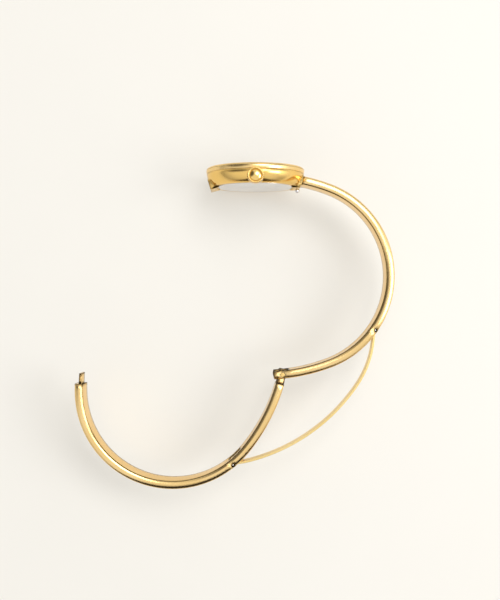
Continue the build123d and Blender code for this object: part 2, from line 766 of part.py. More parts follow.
knob_centre = (release_bar_x, lug_foot_bottom - slide_gap - release_knob_radius, release_knob_place)

with BuildPart() as release_pin:
    extrude(disc(up_plane(release_point, release_pin_inner_end), release_pin_radius),
            amount=release_bar_half_length + release_tip_length - release_pin_inner_end)
    extrude(disc(face_plane(release_bar_height), release_knob_stem_radius,
                 place=(release_knob_place, release_bar_x)),
            amount=knob_centre[1] - release_bar_height)
    with Locations(knob_centre):
        Sphere(release_knob_radius)
release_pin.part.label = "release_pin"
export_step(release_pin.part, "parts/release_pin.step")

spring_start = release_bar_plug_length - release_bar_half_length
spring_length = release_pin_inner_end - spring_start
coil_helix_radius = release_pin_radius - release_wire_radius

with BuildPart() as release_spring:
    with BuildLine(up_plane(release_point, spring_start + release_wire_radius)) as helix:
        Helix((spring_length - 2 * release_wire_radius) / release_spring_turns,
              spring_length - 2 * release_wire_radius, coil_helix_radius)
    with BuildSketch(Plane(origin=helix.line @ 0, z_dir=helix.line % 0)) as wire:
        Circle(release_wire_radius)
    sweep(wire.sketch, path=helix.line)
release_spring.part.label = "release_spring"
export_step(release_spring.part, "parts/release_spring.step")

with BuildPart() as bezel:
    with BuildSketch(Plane.XY) as rim:
        lip_top = case_top + bezel_lip_thickness
        with BuildLine():
            Polyline((bezel_side_radius, bezel_side_height), (case_top_radius, case_top),
                     (bezel_lip_radius, case_top), (bezel_lip_radius, lip_top),
                     (bezel_bore_radius, lip_top), (bezel_bore_radius, bezel_top - bezel_bevel),
                     (bezel_bore_radius + bezel_bevel, bezel_top), (bezel_top_radius, bezel_top))
            ThreePointArc((bezel_top_radius, bezel_top), (bezel_shoulder_radius, bezel_shoulder_height),
                          (bezel_side_radius, bezel_side_height))
        make_face()
    revolve(rim.sketch, axis=Axis.Y)
bezel.part.label = "bezel"
export_step(bezel.part, "parts/bezel.step")

with BuildPart() as crystal:
    post(origin_place, lip_top, lip_top + crystal_thickness, crystal_radius)
    chamfer(crystal.edges().group_by(Axis.Y)[-1], crystal_bevel)
crystal.part.label = "crystal"
export_step(crystal.part, "parts/crystal.step")

with BuildPart() as crystal_gasket:
    post(origin_place, lip_top, lip_top + crystal_gasket_height, bezel_bore_radius, crystal_radius)
crystal_gasket.part.label = "crystal_gasket"
export_step(crystal_gasket.part, "parts/crystal_gasket.step")

dial_top = dial_seat_height + dial_thickness
dial_feet = [polar((0, 0), dial_foot_distance, direction) for direction in dial_foot_directions]

with BuildPart() as dial:
    post(origin_place, dial_seat_height, dial_top, dial_cavity_radius, dial_hole_radius)
    for place in dial_feet:
        post(place, dial_seat_height - dial_foot_length, dial_seat_height, dial_foot_radius)
dial.part.label = "dial"
export_step(dial.part, "parts/dial.step")

with BuildPart() as dial_ring:
    turned((dial_cavity_radius, dial_top), (dial_cavity_radius, case_top), (bezel_lip_radius, case_top),
           (dial_ring_bottom_radius, dial_top))
dial_ring.part.label = "dial_ring"
export_step(dial_ring.part, "parts/dial_ring.step")

with BuildPart() as hour_markers:
    with BuildSketch(face_plane(dial_top)) as bars:
        with PolarLocations(marker_outer_radius - marker_length / 2, 12):
            Rectangle(marker_length, marker_width)
    extrude(bars.sketch, amount=marker_height)
hour_markers.part.label = "hour_markers"
export_step(hour_markers.part, "parts/hour_markers.step")


def hand(height, length, hub_radius, hole, clock_angle):
    """Tapered hand with a round hub, pointing at a clock angle from twelve."""
    with BuildSketch(face_plane(height)) as blade:
        with Locations(Location((0, 0, 0), (0, 0, -clock_angle))):
            Polygon((-hand_root_width / 2, -hand_tail_length), (hand_root_width / 2, -hand_tail_length),
                    (hand_tip_width / 2, length), (-hand_tip_width / 2, length), align=None)
        Circle(hub_radius)
        Circle(hole, mode=Mode.SUBTRACT)
    extrude(blade.sketch, amount=hand_thickness)


minute_clock_angle = shown_minute / 60 * 360
hour_clock_angle = (shown_hour + shown_minute / 60) / 12 * 360

with BuildPart() as hour_hand:
    hand(hour_hand_height, hour_hand_length, hand_hub_radius, hour_pipe_radius, hour_clock_angle)
hour_hand.part.label = "hour_hand"
export_step(hour_hand.part, "parts/hour_hand.step")

with BuildPart() as minute_hand:
    hand(minute_hand_height, minute_hand_length, hand_hub_radius, cannon_pipe_radius, minute_clock_angle)
minute_hand.part.label = "minute_hand"
export_step(minute_hand.part, "parts/minute_hand.step")

cap_back = minute_hand_height + hand_thickness

with BuildPart() as hand_cap:
    post(origin_place, cap_back, cap_back + hand_cap_height, hand_cap_radius)
    fillet(hand_cap.edges().group_by(Axis.Y)[-1], hand_cap_height / 2)
hand_cap.part.label = "hand_cap"
export_step(hand_cap.part, "parts/hand_cap.step")

crown_front = crown_back + crown_length
pocket_end = crown_back + crown_pocket_depth
stem_end = pocket_end + crown_bore_depth
crown_dish_radius = (crown_face_radius**2 + crown_face_dish**2) / (2 * crown_face_dish)
stem_point = (0, stem_height)


def stem_disc(place, radius, hole=0):
    """Round face square to the stem, at a distance from the head's axis."""
    return disc(up_plane(stem_point, place), radius, hole)


def knurled_face(radius, teeth, depth):
    """Round face with V-shaped notches all round, to be placed square to the stem."""
    pitch = 360 / teeth
    corner_shares = ((-0.3, 0), (0.3, 0), (0.5, 1))
    corners = [polar((0, 0), radius - drop * depth, (tooth + along) * pitch)
               for tooth in range(teeth) for along, drop in corner_shares]
    with BuildSketch() as face:
        Polygon(*corners, align=None)
    return face.sketch


def notch_ring(radius, teeth, depth):
    """Ring round a circle that reaches into it with a V at every notch."""
    pitch = 360 / teeth
    corner_shares = ((-0.5, -1), (-0.3, 0), (-0.3, 1), (0.3, 1), (0.3, 0))
    corners = [polar((0, 0), radius + rise * depth, (tooth + along) * pitch)
               for tooth in range(teeth) for along, rise in corner_shares]
    with BuildSketch() as ring:
        Circle(radius + 2 * depth)
        Polygon(*corners, align=None, mode=Mode.SUBTRACT)
    return ring.sketch


with BuildPart() as crown:
    extrude(stem_disc(crown_back, crown_radius), amount=crown_length)
    fillet(crown.edges().filter_by(GeomType.CIRCLE), crown_edge_radius)
    with Locations((0, stem_height, crown_front - crown_face_dish + crown_dish_radius)):
        Sphere(crown_dish_radius, mode=Mode.SUBTRACT)
    with BuildSketch(up_plane(stem_point, crown_back - cut_overrun)) as notches:
        add(notch_ring(crown_radius, crown_teeth, crown_tooth_depth))
    extrude(notches.sketch, amount=crown_length + 2 * cut_overrun, mode=Mode.SUBTRACT)
    extrude(stem_disc(crown_back, crown_pocket_radius), amount=crown_pocket_depth, mode=Mode.SUBTRACT)
    extrude(stem_disc(pocket_end, stem_radius), amount=crown_bore_depth, mode=Mode.SUBTRACT)
crown.part.label = "crown"
export_step(crown.part, "parts/crown.step")

with BuildPart() as crown_gasket:
    extrude(stem_disc(crown_back + crown_gasket_place, crown_pocket_radius, tube_radius + running_gap),
            amount=crown_gasket_length)
crown_gasket.part.label = "crown_gasket"
export_step(crown_gasket.part, "parts/crown_gasket.step")

with BuildPart() as crown_tube:
    extrude(stem_disc(tube_inner_end, tube_radius, tube_bore_radius), amount=tube_outer_end - tube_inner_end)
crown_tube.part.label = "crown_tube"
export_step(crown_tube.part, "parts/crown_tube.step")

with BuildPart() as stem:
    extrude(stem_disc(stem_square_end, stem_radius), amount=stem_end - stem_square_end)
    with BuildSketch(up_plane(stem_point, stem_inner_end)) as square:
        Rectangle(2 * stem_square_half, 2 * stem_square_half)
    extrude(square.sketch, amount=stem_square_end - stem_inner_end)
    extrude(stem_disc(stem_groove_start, stem_radius + cut_overrun, stem_groove_radius),
            amount=stem_groove_length, mode=Mode.SUBTRACT)
stem.part.label = "stem"
export_step(stem.part, "parts/stem.step")

with BuildPart() as clutch_pinion:
    with BuildSketch(up_plane(stem_point, clutch_place)) as clutch_face:
        add(knurled_face(clutch_radius, clutch_teeth, clutch_tooth_depth))
        Rectangle(2 * (stem_square_half + running_gap), 2 * (stem_square_half + running_gap),
                  mode=Mode.SUBTRACT)
    extrude(clutch_face.sketch, amount=clutch_length)
clutch_pinion.part.label = "clutch_pinion"
export_step(clutch_pinion.part, "parts/clutch_pinion.step")

lever_pin_place = (stem_groove_start + stem_groove_length / 2,
                   stem_groove_radius + running_gap + lever_pin_radius)
lever_stud_place = polar(lever_pin_place, lever_arm, 90 - lever_swing / 2)
lever_front = lever_back + lever_thickness

with BuildPart() as setting_lever:
    extrude(capsule_face(face_plane(lever_back), lever_pin_place, lever_stud_place, lever_half_width),
            amount=lever_thickness)
    post(lever_stud_place, lever_back, lever_front, lever_boss_radius)
    post(lever_stud_place, lever_back, lever_front, lever_stud_radius + running_gap, mode=Mode.SUBTRACT)
    post(lever_pin_place, lever_front, lever_front + lever_pin_rise, lever_pin_radius)
setting_lever.part.label = "setting_lever"
export_step(setting_lever.part, "parts/setting_lever.step")

# Places of the train's arbors, each a gear centre distance from the one before
pinion_radius = train_module * pinion_teeth / 2
third_place = polar((0, 0), train_module * centre_wheel_teeth / 2 + pinion_radius, third_direction)
intermediate_place = polar(third_place, train_module * third_wheel_teeth / 2 + pinion_radius,
                           intermediate_direction)
rotor_place = polar(intermediate_place, train_module * intermediate_wheel_teeth / 2 + pinion_radius,
                    rotor_direction)
minute_wheel_place = polar((0, 0), motion_module * (cannon_teeth + minute_wheel_teeth) / 2,
                           minute_wheel_direction)
battery_place = polar((0, 0), battery_distance, battery_direction)
clamp_post_place = polar(battery_place, clamp_post_distance, clamp_post_direction)
near_pillar_place = polar((0, 0), bridge_pillar_near_distance, bridge_pillar_near_direction)
far_pillar_place = polar(rotor_place, bridge_pillar_far_distance, bridge_pillar_far_direction)
bridge_front = bridge_back + bridge_thickness
train_places = (third_place, intermediate_place, rotor_place)
pivot_hole_radius = pivot_radius + running_gap
pivot_end = plate_back + pivot_length

with BuildPart() as main_plate:
    post(origin_place, plate_back, dial_seat_height, movement_radius)
    recess_height = dial_seat_height - plate_recess_floor
    hour_wheel_room = motion_module * (hour_wheel_teeth / 2 + 1) + side_gap
    minute_wheel_room = motion_module * (minute_wheel_teeth / 2 + 1) + side_gap
    post(origin_place, plate_recess_floor, dial_seat_height, hour_wheel_room, mode=Mode.SUBTRACT)
    post(minute_wheel_place, plate_recess_floor, dial_seat_height, minute_wheel_room, mode=Mode.SUBTRACT)
    post(minute_wheel_place, plate_recess_floor, motion_stud_end, motion_stud_radius)
    post(origin_place, plate_back, plate_recess_floor, centre_arbor_radius + side_gap, mode=Mode.SUBTRACT)
    post(battery_place, plate_back, plate_recess_floor, battery_radius + running_gap, mode=Mode.SUBTRACT)
    for place in train_places:
        post(place, plate_back, pivot_end + running_gap, pivot_hole_radius, mode=Mode.SUBTRACT)
    for place in (near_pillar_place, far_pillar_place):
        post(place, plate_back, bridge_back + screw_length, screw_radius, mode=Mode.SUBTRACT)
    for place in dial_feet:
        post(place, dial_seat_height - dial_foot_length, dial_seat_height, dial_foot_radius,
             mode=Mode.SUBTRACT)
    with BuildSketch(face_plane(plate_back)) as coil_room:
        with Locations(coil_place):
            Rectangle(2 * (coil_half_length + side_gap), 2 * (coil_flange_radius + side_gap))
    extrude(coil_room.sketch, amount=coil_height + coil_flange_radius + side_gap - plate_back,
            mode=Mode.SUBTRACT)
    extrude(stem_disc(stem_inner_end - side_gap, stem_radius + side_gap), amount=movement_radius,
            mode=Mode.SUBTRACT)
    extrude(stem_disc(clutch_place - side_gap, clutch_radius + side_gap),
            amount=clutch_length + 2 * side_gap, mode=Mode.SUBTRACT)
    post(lever_stud_place, lever_back - running_gap, plate_back, lever_stud_radius)
main_plate.part.label = "main_plate"
export_step(main_plate.part, "parts/main_plate.step")

with BuildPart() as movement_holder:
    post(origin_place, holder_back, dial_seat_height, case_cavity_radius - holder_gap,
         movement_radius + running_gap)
    extrude(stem_disc(movement_radius - cut_overrun, holder_stem_hole_radius),
            amount=2 * cut_overrun + holder_gap, mode=Mode.SUBTRACT)
movement_holder.part.label = "movement_holder"
export_step(movement_holder.part, "parts/movement_holder.step")

with BuildPart() as train_bridge:
    for first, second in ((near_pillar_place, (0, 0)), ((0, 0), third_place),
                          (third_place, intermediate_place), (intermediate_place, rotor_place),
                          (rotor_place, far_pillar_place)):
        extrude(capsule_face(face_plane(bridge_back), first, second, bridge_half_width),
                amount=bridge_thickness)
    for place in (near_pillar_place, far_pillar_place):
        post(place, bridge_back, plate_back, bridge_pillar_radius)
        post(place, bridge_back, plate_back, screw_radius, mode=Mode.SUBTRACT)
    for place in ((0, 0),) + train_places:
        post(place, bridge_back, bridge_front, pivot_hole_radius, mode=Mode.SUBTRACT)
train_bridge.part.label = "train_bridge"
export_step(train_bridge.part, "parts/train_bridge.step")

with BuildPart() as bridge_screws:
    for place in (near_pillar_place, far_pillar_place):
        post(place, bridge_back, bridge_back + screw_length, screw_radius)
        post(place, bridge_back - screw_head_height, bridge_back, screw_head_radius)
        with BuildSketch(face_plane(bridge_back - screw_head_height)) as slot:
            with Locations(place):
                Rectangle(screw_slot_width, 2 * screw_head_radius + screw_slot_width)
        extrude(slot.sketch, amount=screw_slot_depth, mode=Mode.SUBTRACT)
bridge_screws.part.label = "bridge_screws"
export_step(bridge_screws.part, "parts/bridge_screws.step")


def arbor(place):
    """Arbor of a train wheel, with its two pivots in the bridge and the plate."""
    post(place, bridge_front + running_gap, plate_back - running_gap, arbor_radius)
    post(place, bridge_back + running_gap, pivot_end, pivot_radius)


with BuildPart() as rotor:
    arbor(rotor_place)
    gear(rotor_place, wheel_level_back, wheel_thickness, pinion_teeth, train_module,
         rotor_direction + 180 + 180 / pinion_teeth)
    post(rotor_place, wheel_level_front, wheel_level_front + rotor_magnet_thickness, rotor_magnet_radius)
rotor.part.label = "rotor"
export_step(rotor.part, "parts/rotor.step")

with BuildPart() as intermediate_wheel:
    arbor(intermediate_place)
    gear(intermediate_place, wheel_level_back, wheel_thickness, intermediate_wheel_teeth, train_module,
         rotor_direction)
    gear(intermediate_place, wheel_level_front, wheel_thickness, pinion_teeth, train_module,
         intermediate_direction + 180 + 180 / pinion_teeth)
intermediate_wheel.part.label = "intermediate_wheel"
export_step(intermediate_wheel.part, "parts/intermediate_wheel.step")

with BuildPart() as third_wheel:
    arbor(third_place)
    gear(third_place, wheel_level_front, wheel_thickness, third_wheel_teeth, train_module,
         intermediate_direction)
    gear(third_place, wheel_level_back, wheel_thickness, pinion_teeth, train_module,
         third_direction + 180 + 180 / pinion_teeth)
third_wheel.part.label = "third_wheel"
export_step(third_wheel.part, "parts/third_wheel.step")

with BuildPart() as centre_wheel:
    gear(origin_place, wheel_level_back, wheel_thickness, centre_wheel_teeth, train_module, third_direction)
    post(origin_place, bridge_front + running_gap, centre_arbor_end, centre_arbor_radius)
    post(origin_place, bridge_back + running_gap, centre_arbor_end, pivot_radius)
centre_wheel.part.label = "centre_wheel"
export_step(centre_wheel.part, "parts/centre_wheel.step")

with BuildPart() as cannon_pinion:
    gear(origin_place, cannon_level, motion_thickness, cannon_teeth, motion_module, minute_wheel_direction)
    post(origin_place, cannon_level, cap_back, cannon_pipe_radius)
    post(origin_place, cannon_level, centre_arbor_end, centre_arbor_radius, mode=Mode.SUBTRACT)
cannon_pinion.part.label = "cannon_pinion"
export_step(cannon_pinion.part, "parts/cannon_pinion.step")

with BuildPart() as minute_wheel:
    gear(minute_wheel_place, cannon_level, motion_thickness, minute_wheel_teeth, motion_module,
         minute_wheel_direction + 180 + 180 / minute_wheel_teeth)
    gear(minute_wheel_place, cannon_level + motion_thickness,
         hour_wheel_level - cannon_level, minute_pinion_teeth, motion_module,
         minute_wheel_direction + 180 + 180 / minute_pinion_teeth)
    post(minute_wheel_place, cannon_level, dial_seat_height, motion_stud_radius + running_gap,
         mode=Mode.SUBTRACT)
minute_wheel.part.label = "minute_wheel"
export_step(minute_wheel.part, "parts/minute_wheel.step")

with BuildPart() as hour_wheel:
    gear(origin_place, hour_wheel_level, motion_thickness, hour_wheel_teeth, motion_module,
         minute_wheel_direction)
    post(origin_place, hour_wheel_level, hour_hand_height + hand_thickness, hour_pipe_radius)
    post(origin_place, hour_wheel_level, hour_hand_height + hand_thickness,
         cannon_pipe_radius + running_gap, mode=Mode.SUBTRACT)
hour_wheel.part.label = "hour_wheel"
export_step(hour_wheel.part, "parts/hour_wheel.step")

with BuildPart() as battery:
    post(battery_place, battery_back, plate_recess_floor - battery_step_height, battery_radius)
    post(battery_place, battery_back, plate_recess_floor, battery_step_radius)
battery.part.label = "battery"
export_step(battery.part, "parts/battery.step")

with BuildPart() as battery_clamp:
    clamp_back = battery_back - clamp_thickness
    extrude(capsule_face(face_plane(clamp_back), battery_place, clamp_post_place, clamp_half_width),
            amount=clamp_thickness)
    post(clamp_post_place, battery_back, plate_back, clamp_post_radius)
battery_clamp.part.label = "battery_clamp"
export_step(battery_clamp.part, "parts/battery_clamp.step")

core_front = wheel_level_front
core_ends = [(coil_place[0] + side * (core_half_length - core_half_width), coil_place[1])
             for side in (-1, 1)]

with BuildPart() as stator:
    for knee, core_end in zip((stator_left_knee, stator_right_knee), core_ends):
        for first, second in ((rotor_place, knee), (knee, core_end)):
            extrude(capsule_face(face_plane(wheel_level_front), first, second, stator_leg_half_width),
                    amount=plate_back - wheel_level_front)
    stator_hole = rotor_magnet_radius + rotor_gap
    post(rotor_place, wheel_level_front, plate_back, stator_hole + stator_ring_wall)
    post(rotor_place, wheel_level_front, plate_back, stator_hole, mode=Mode.SUBTRACT)
stator.part.label = "stator"
export_step(stator.part, "parts/stator.step")

with BuildPart() as coil_core:
    with BuildSketch(face_plane(core_front - core_thickness)) as bar:
        with Locations(coil_place):
            Rectangle(2 * core_half_length, 2 * core_half_width)
    extrude(bar.sketch, amount=core_thickness)
coil_core.part.label = "coil_core"
export_step(coil_core.part, "parts/coil_core.step")

with BuildPart() as coil:
    coil_point = (coil_place[1], coil_height)
    for start, end, radius in (
            (-coil_half_length, coil_half_length, coil_radius),
            (-coil_half_length, coil_flange_thickness - coil_half_length, coil_flange_radius),
            (coil_half_length - coil_flange_thickness, coil_half_length, coil_flange_radius)):
        extrude(disc(up_plane(coil_point, coil_place[0] + start), radius), amount=end - start)
    with BuildSketch(face_plane(core_front - core_thickness)) as core_hole:
        with Locations(coil_place):
            Rectangle(2 * core_half_length, 2 * core_half_width)
    extrude(core_hole.sketch, amount=core_thickness, mode=Mode.SUBTRACT)
coil.part.label = "coil"
export_step(coil.part, "parts/coil.step")

with BuildPart() as circuit_board:
    with BuildSketch(face_plane(plate_back - circuit_thickness)) as board:
        with BuildLine():
            start_inner = polar((0, 0), circuit_inner_radius, circuit_start)
            start_outer = polar((0, 0), circuit_outer_radius, circuit_start)
            end_inner = polar((0, 0), circuit_inner_radius, circuit_end)
            middle_angle = (circuit_start + circuit_end) / 2
            ThreePointArc(start_inner, polar((0, 0), circuit_inner_radius, middle_angle), end_inner)
            Line(end_inner, polar((0, 0), circuit_outer_radius, circuit_end))
            ThreePointArc(polar((0, 0), circuit_outer_radius, circuit_end),
                          polar((0, 0), circuit_outer_radius, middle_angle), start_outer)
            Line(start_outer, start_inner)
        make_face()
    extrude(board.sketch, amount=circuit_thickness)
circuit_board.part.label = "circuit_board"
export_step(circuit_board.part, "parts/circuit_board.step")

board_back = plate_back - circuit_thickness

with BuildPart() as time_chip:
    with BuildSketch(face_plane(board_back - chip_height)) as chip:
        with Locations(polar((0, 0), chip_distance, chip_direction)):
            Rectangle(chip_side, chip_side)
    extrude(chip.sketch, amount=chip_height)
time_chip.part.label = "time_chip"
export_step(time_chip.part, "parts/time_chip.step")

can_place = polar((0, 0), can_distance, can_direction)
can_lie = can_direction + 90
can_start = polar(can_place, -can_length / 2, can_lie)

with BuildPart() as quartz_can:
    extrude(disc(Plane(origin=(can_start[1], board_back - can_radius, can_start[0]),
                       z_dir=(sin(radians(can_lie)), 0, cos(radians(can_lie)))), can_radius),
            amount=can_length)
quartz_can.part.label = "quartz_can"
export_step(quartz_can.part, "parts/quartz_can.step")
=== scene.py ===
"""Looks of the bangle watch: finishes, turned and faceted pieces, studio and camera.

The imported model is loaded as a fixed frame, in metres. +Y runs out through the
crystal, +Z along the stem to the crown and +X to twelve o'clock. Sizes of pieces are
in millimetres and are turned into metres where a mesh is made. Sizes of finishes and
lamps are in metres.
"""

import logging
import math
from collections.abc import Sequence
from dataclasses import dataclass, field
from enum import Enum

import bmesh
import bpy
import numpy as np
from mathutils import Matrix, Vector

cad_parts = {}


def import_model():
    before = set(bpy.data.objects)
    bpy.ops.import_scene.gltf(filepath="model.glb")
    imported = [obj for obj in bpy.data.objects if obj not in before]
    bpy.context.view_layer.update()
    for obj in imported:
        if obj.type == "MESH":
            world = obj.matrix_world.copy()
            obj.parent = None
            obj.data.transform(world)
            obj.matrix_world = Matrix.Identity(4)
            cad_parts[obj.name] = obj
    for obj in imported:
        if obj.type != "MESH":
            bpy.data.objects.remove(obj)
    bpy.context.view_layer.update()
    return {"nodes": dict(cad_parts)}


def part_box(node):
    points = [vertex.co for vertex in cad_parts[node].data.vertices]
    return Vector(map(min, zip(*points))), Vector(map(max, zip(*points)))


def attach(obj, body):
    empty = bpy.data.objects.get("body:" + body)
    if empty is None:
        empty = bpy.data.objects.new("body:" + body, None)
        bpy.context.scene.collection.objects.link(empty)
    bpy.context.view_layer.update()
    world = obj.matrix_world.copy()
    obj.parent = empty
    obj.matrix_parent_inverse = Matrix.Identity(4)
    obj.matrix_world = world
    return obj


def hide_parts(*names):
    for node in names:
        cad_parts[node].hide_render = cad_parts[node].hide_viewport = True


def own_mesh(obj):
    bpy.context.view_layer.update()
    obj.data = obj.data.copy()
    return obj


log = logging.getLogger("bangle_watch")

Triple = tuple[float, float, float]

MM = 0.001
MERGE_DISTANCE = 1e-8
SHORTEST_EDGE = 1e-9
EVEN: Triple = (1.0, 1.0, 1.0)
NOISE_LOW = 0.3
NOISE_HIGH = 0.7


# arrays and meshes


def grid_faces(index: np.ndarray, wrap_u: bool = False, wrap_v: bool = False) -> np.ndarray:
    """Join the neighbours of a grid into quads.

    Args:
        index: Array of shape (u, v) with the place of each point in the mesh.
        wrap_u: Whether the last row joins the first.
        wrap_v: Whether the last column joins the first.

    Returns:
        Array of shape (faces, 4).
    """
    if wrap_u:
        index = np.vstack([index, index[:1]])
    if wrap_v:
        index = np.hstack([index, index[:, :1]])
    quads = [index[:-1, :-1], index[1:, :-1], index[1:, 1:], index[:-1, 1:]]
    return np.stack(quads, axis=-1).reshape(-1, 4)


def put_mesh(name: str, points: np.ndarray, faces: Sequence[Sequence[int]],
             smooth: bool = True) -> bpy.types.Object:
    """Make a mesh object, with coinciding points joined and a closed shape's faces outward.

    Args:
        name: Name of the new object.
        points: Array of shape (n, 3), in millimetres.
        faces: The corners of each face, as places in the points.
        smooth: Whether the faces are shaded smooth.

    Returns:
        The new object, linked to the scene, in metres.
    """
    mesh = bpy.data.meshes.new(name)
    mesh.from_pydata((points * MM).tolist(), [], faces)
    shape = bmesh.new()
    shape.from_mesh(mesh)
    bmesh.ops.remove_doubles(shape, verts=shape.verts, dist=MERGE_DISTANCE)
    bmesh.ops.recalc_face_normals(shape, faces=shape.faces)
    shape.to_mesh(mesh)
    shape.free()
    mesh.polygons.foreach_set("use_smooth", np.full(len(mesh.polygons), smooth))
    mesh.update()
    piece = bpy.data.objects.new(name, mesh)
    bpy.context.scene.collection.objects.link(piece)
    return piece


def put_grid(name: str, points: np.ndarray, wrap_u: bool = False,
             wrap_v: bool = False) -> bpy.types.Object:
    """Make a smooth mesh object from a grid of points.

    Args:
        name: Name of the new object.
        points: Array of shape (u, v, 3), in millimetres.
        wrap_u: Whether the last row joins the first.
        wrap_v: Whether the last column joins the first.

    Returns:
        The new object, linked to the scene, in metres.
    """
    rows, columns = points.shape[:2]
    index = np.arange(rows * columns).reshape(rows, columns)
    return put_mesh(name, points.reshape(-1, 3), grid_faces(index, wrap_u, wrap_v).tolist())


def softened(corners: np.ndarray, reach: np.ndarray, steps: int,
             closed: bool = False) -> np.ndarray:
    """Round the corners of an outline.

    Each corner is replaced by a quadratic curve that starts and ends at its reach
    from the corner: (1-t)^2 A + 2t(1-t) corner + t^2 B.

    Args:
        corners: Array of shape (n, 2).
        reach: How far from each corner its curve starts, 0 for a sharp end.
        steps: Points along each curve.
        closed: Whether the outline closes on itself.

    Returns:
        The rounded outline, of shape (n * steps, 2).
    """
    before = np.roll(corners, 1, axis=0) - corners
    after = np.roll(corners, -1, axis=0) - corners
    before /= np.maximum(np.linalg.norm(before, axis=1), SHORTEST_EDGE)[:, None]
    after /= np.maximum(np.linalg.norm(after, axis=1), SHORTEST_EDGE)[:, None]
    if not closed:
        reach = reach.copy()
        reach[[0, -1]] = 0.0
    start = (corners + before * reach[:, None])[:, None]
    end = (corners + after * reach[:, None])[:, None]
    t = np.linspace(0, 1, steps)[None, :, None]
    curve = (1 - t) ** 2 * start + 2 * t * (1 - t) * corners[:, None] + t**2 * end
    return curve.reshape(-1, 2)


class Axle(Enum):
    """The two directions that pieces are turned about, as (along, first, second)."""

    HEAD = ((0.0, 1.0, 0.0), (1.0, 0.0, 0.0), (0.0, 0.0, 1.0))
    STEM = ((0.0, 0.0, 1.0), (1.0, 0.0, 0.0), (0.0, 1.0, 0.0))


def turned(outline: np.ndarray, axle: Axle, steps: int, centre: Triple = (0.0, 0.0, 0.0),
           bead: np.ndarray | None = None) -> np.ndarray:
    """Turn an outline about an axle.

    A point is centre + h * along + r * (cos a * first + sin a * second), for each
    outline point (r, h) and each angle a, with r lessened by the bead array.

    Args:
        outline: Array of shape (n, 2) of radius and place along the axle.
        axle: The direction to turn about.
        steps: Angles in a full turn.
        centre: A point on the axle.
        bead: Optional array of shape (n, steps) taken off the radius.

    Returns:
        Array of shape (n, steps, 3).
    """
    along, first, second = (np.array(v) for v in axle.value)
    angle = np.linspace(0, 2 * np.pi, steps, endpoint=False)
    radius = np.repeat(outline[:, :1], steps, axis=1)
    if bead is not None:
        radius = np.maximum(radius - bead, 0.0)
    ring = np.cos(angle)[:, None] * first + np.sin(angle)[:, None] * second
    return np.array(centre) + outline[:, 1, None, None] * along + radius[..., None] * ring


def on_dial(along: np.ndarray, across: np.ndarray, height: np.ndarray,
            clock: float) -> np.ndarray:
    """Place points by clock direction.

    A point lies at along * (cos c, sin c) + across * (-sin c, cos c) in X and Z,
    where c is the clock angle from twelve towards three.

    Args:
        along: Distances outward from the centre.
        across: Distances to the clockwise side.
        height: Heights above the case back.
        clock: Clock angle in degrees.

    Returns:
        Array of the same shape with a last axis of three.
    """
    c = math.radians(clock)
    x = along * math.cos(c) - across * math.sin(c)
    z = along * math.sin(c) + across * math.cos(c)
    return np.stack([x, height, z], axis=-1)


# finishes


def blank_material(name: str) -> tuple[bpy.types.Material, bpy.types.NodeTree, bpy.types.Node]:
    """Start a material.

    Args:
        name: Name of the material.

    Returns:
        The material, its node tree and its Principled shader.
    """
    material = bpy.data.materials.new(name)
    material.use_nodes = True
    return material, material.node_tree, material.node_tree.nodes["Principled BSDF"]


def add_noise(tree: bpy.types.NodeTree, stretch: Triple, scale: float,
              detail: float) -> bpy.types.NodeSocket:
    """Add a noise texture on stretched object coordinates.

    Args:
        tree: The node tree.
        stretch: Scale of each axis before the noise.
        scale: Noise scale, in turns per metre of the stretched space.
        detail: Octaves.

    Returns:
        The noise's value socket.
    """
    where = tree.nodes.new("ShaderNodeTexCoord")
    spread = tree.nodes.new("ShaderNodeMapping")
    noise = tree.nodes.new("ShaderNodeTexNoise")
    spread.inputs["Scale"].default_value = stretch
    noise.inputs["Scale"].default_value = scale
    noise.inputs["Detail"].default_value = detail
    tree.links.new(where.outputs["Object"], spread.inputs["Vector"])
    tree.links.new(spread.outputs["Vector"], noise.inputs["Vector"])
    return noise.outputs["Fac"]


def add_ramp(tree: bpy.types.NodeTree, value: bpy.types.NodeSocket, low: Triple,
             high: Triple) -> bpy.types.NodeSocket:
    """Turn a noise value into a colour between two colours.

    Args:
        tree: The node tree.
        value: The noise's value.
        low: Colour at the noise's low end.
        high: Colour at its high end.

    Returns:
        The colour socket.
    """
    ramp = tree.nodes.new("ShaderNodeValToRGB")
    first, last = ramp.color_ramp.elements
    first.position, first.color = NOISE_LOW, (*low, 1.0)
    last.position, last.color = NOISE_HIGH, (*high, 1.0)
    tree.links.new(value, ramp.inputs["Fac"])
    return ramp.outputs["Color"]


def add_range(tree: bpy.types.NodeTree, value: bpy.types.NodeSocket, start: tuple[float, float],
              end: tuple[float, float]) -> bpy.types.Node:
    """Spread a value over a range.

    Args:
        tree: The node tree.
        value: The value to spread.
        start: The value's own low and high end.
        end: What those two ends become.

    Returns:
        The node, whose output Result is the spread value.
    """
    spread = tree.nodes.new("ShaderNodeMapRange")
    for socket, bound in zip(("From Min", "From Max", "To Min", "To Max"), (*start, *end)):
        spread.inputs[socket].default_value = bound
    tree.links.new(value, spread.inputs["Value"])
    return spread


def add_bump(tree: bpy.types.NodeTree, height: bpy.types.NodeSocket, strength: float,
             depth: float) -> bpy.types.Node:
    """Add a bump.

    Args:
        tree: The node tree.
        height: The socket that gives the height.
        strength: Strength of the bump.
        depth: Depth in metres of a full height.

    Returns:
        The bump node.
    """
    bump = tree.nodes.new("ShaderNodeBump")
    bump.inputs["Strength"].default_value = strength
    bump.inputs["Distance"].default_value = depth
    tree.links.new(height, bump.inputs["Height"])
    return bump


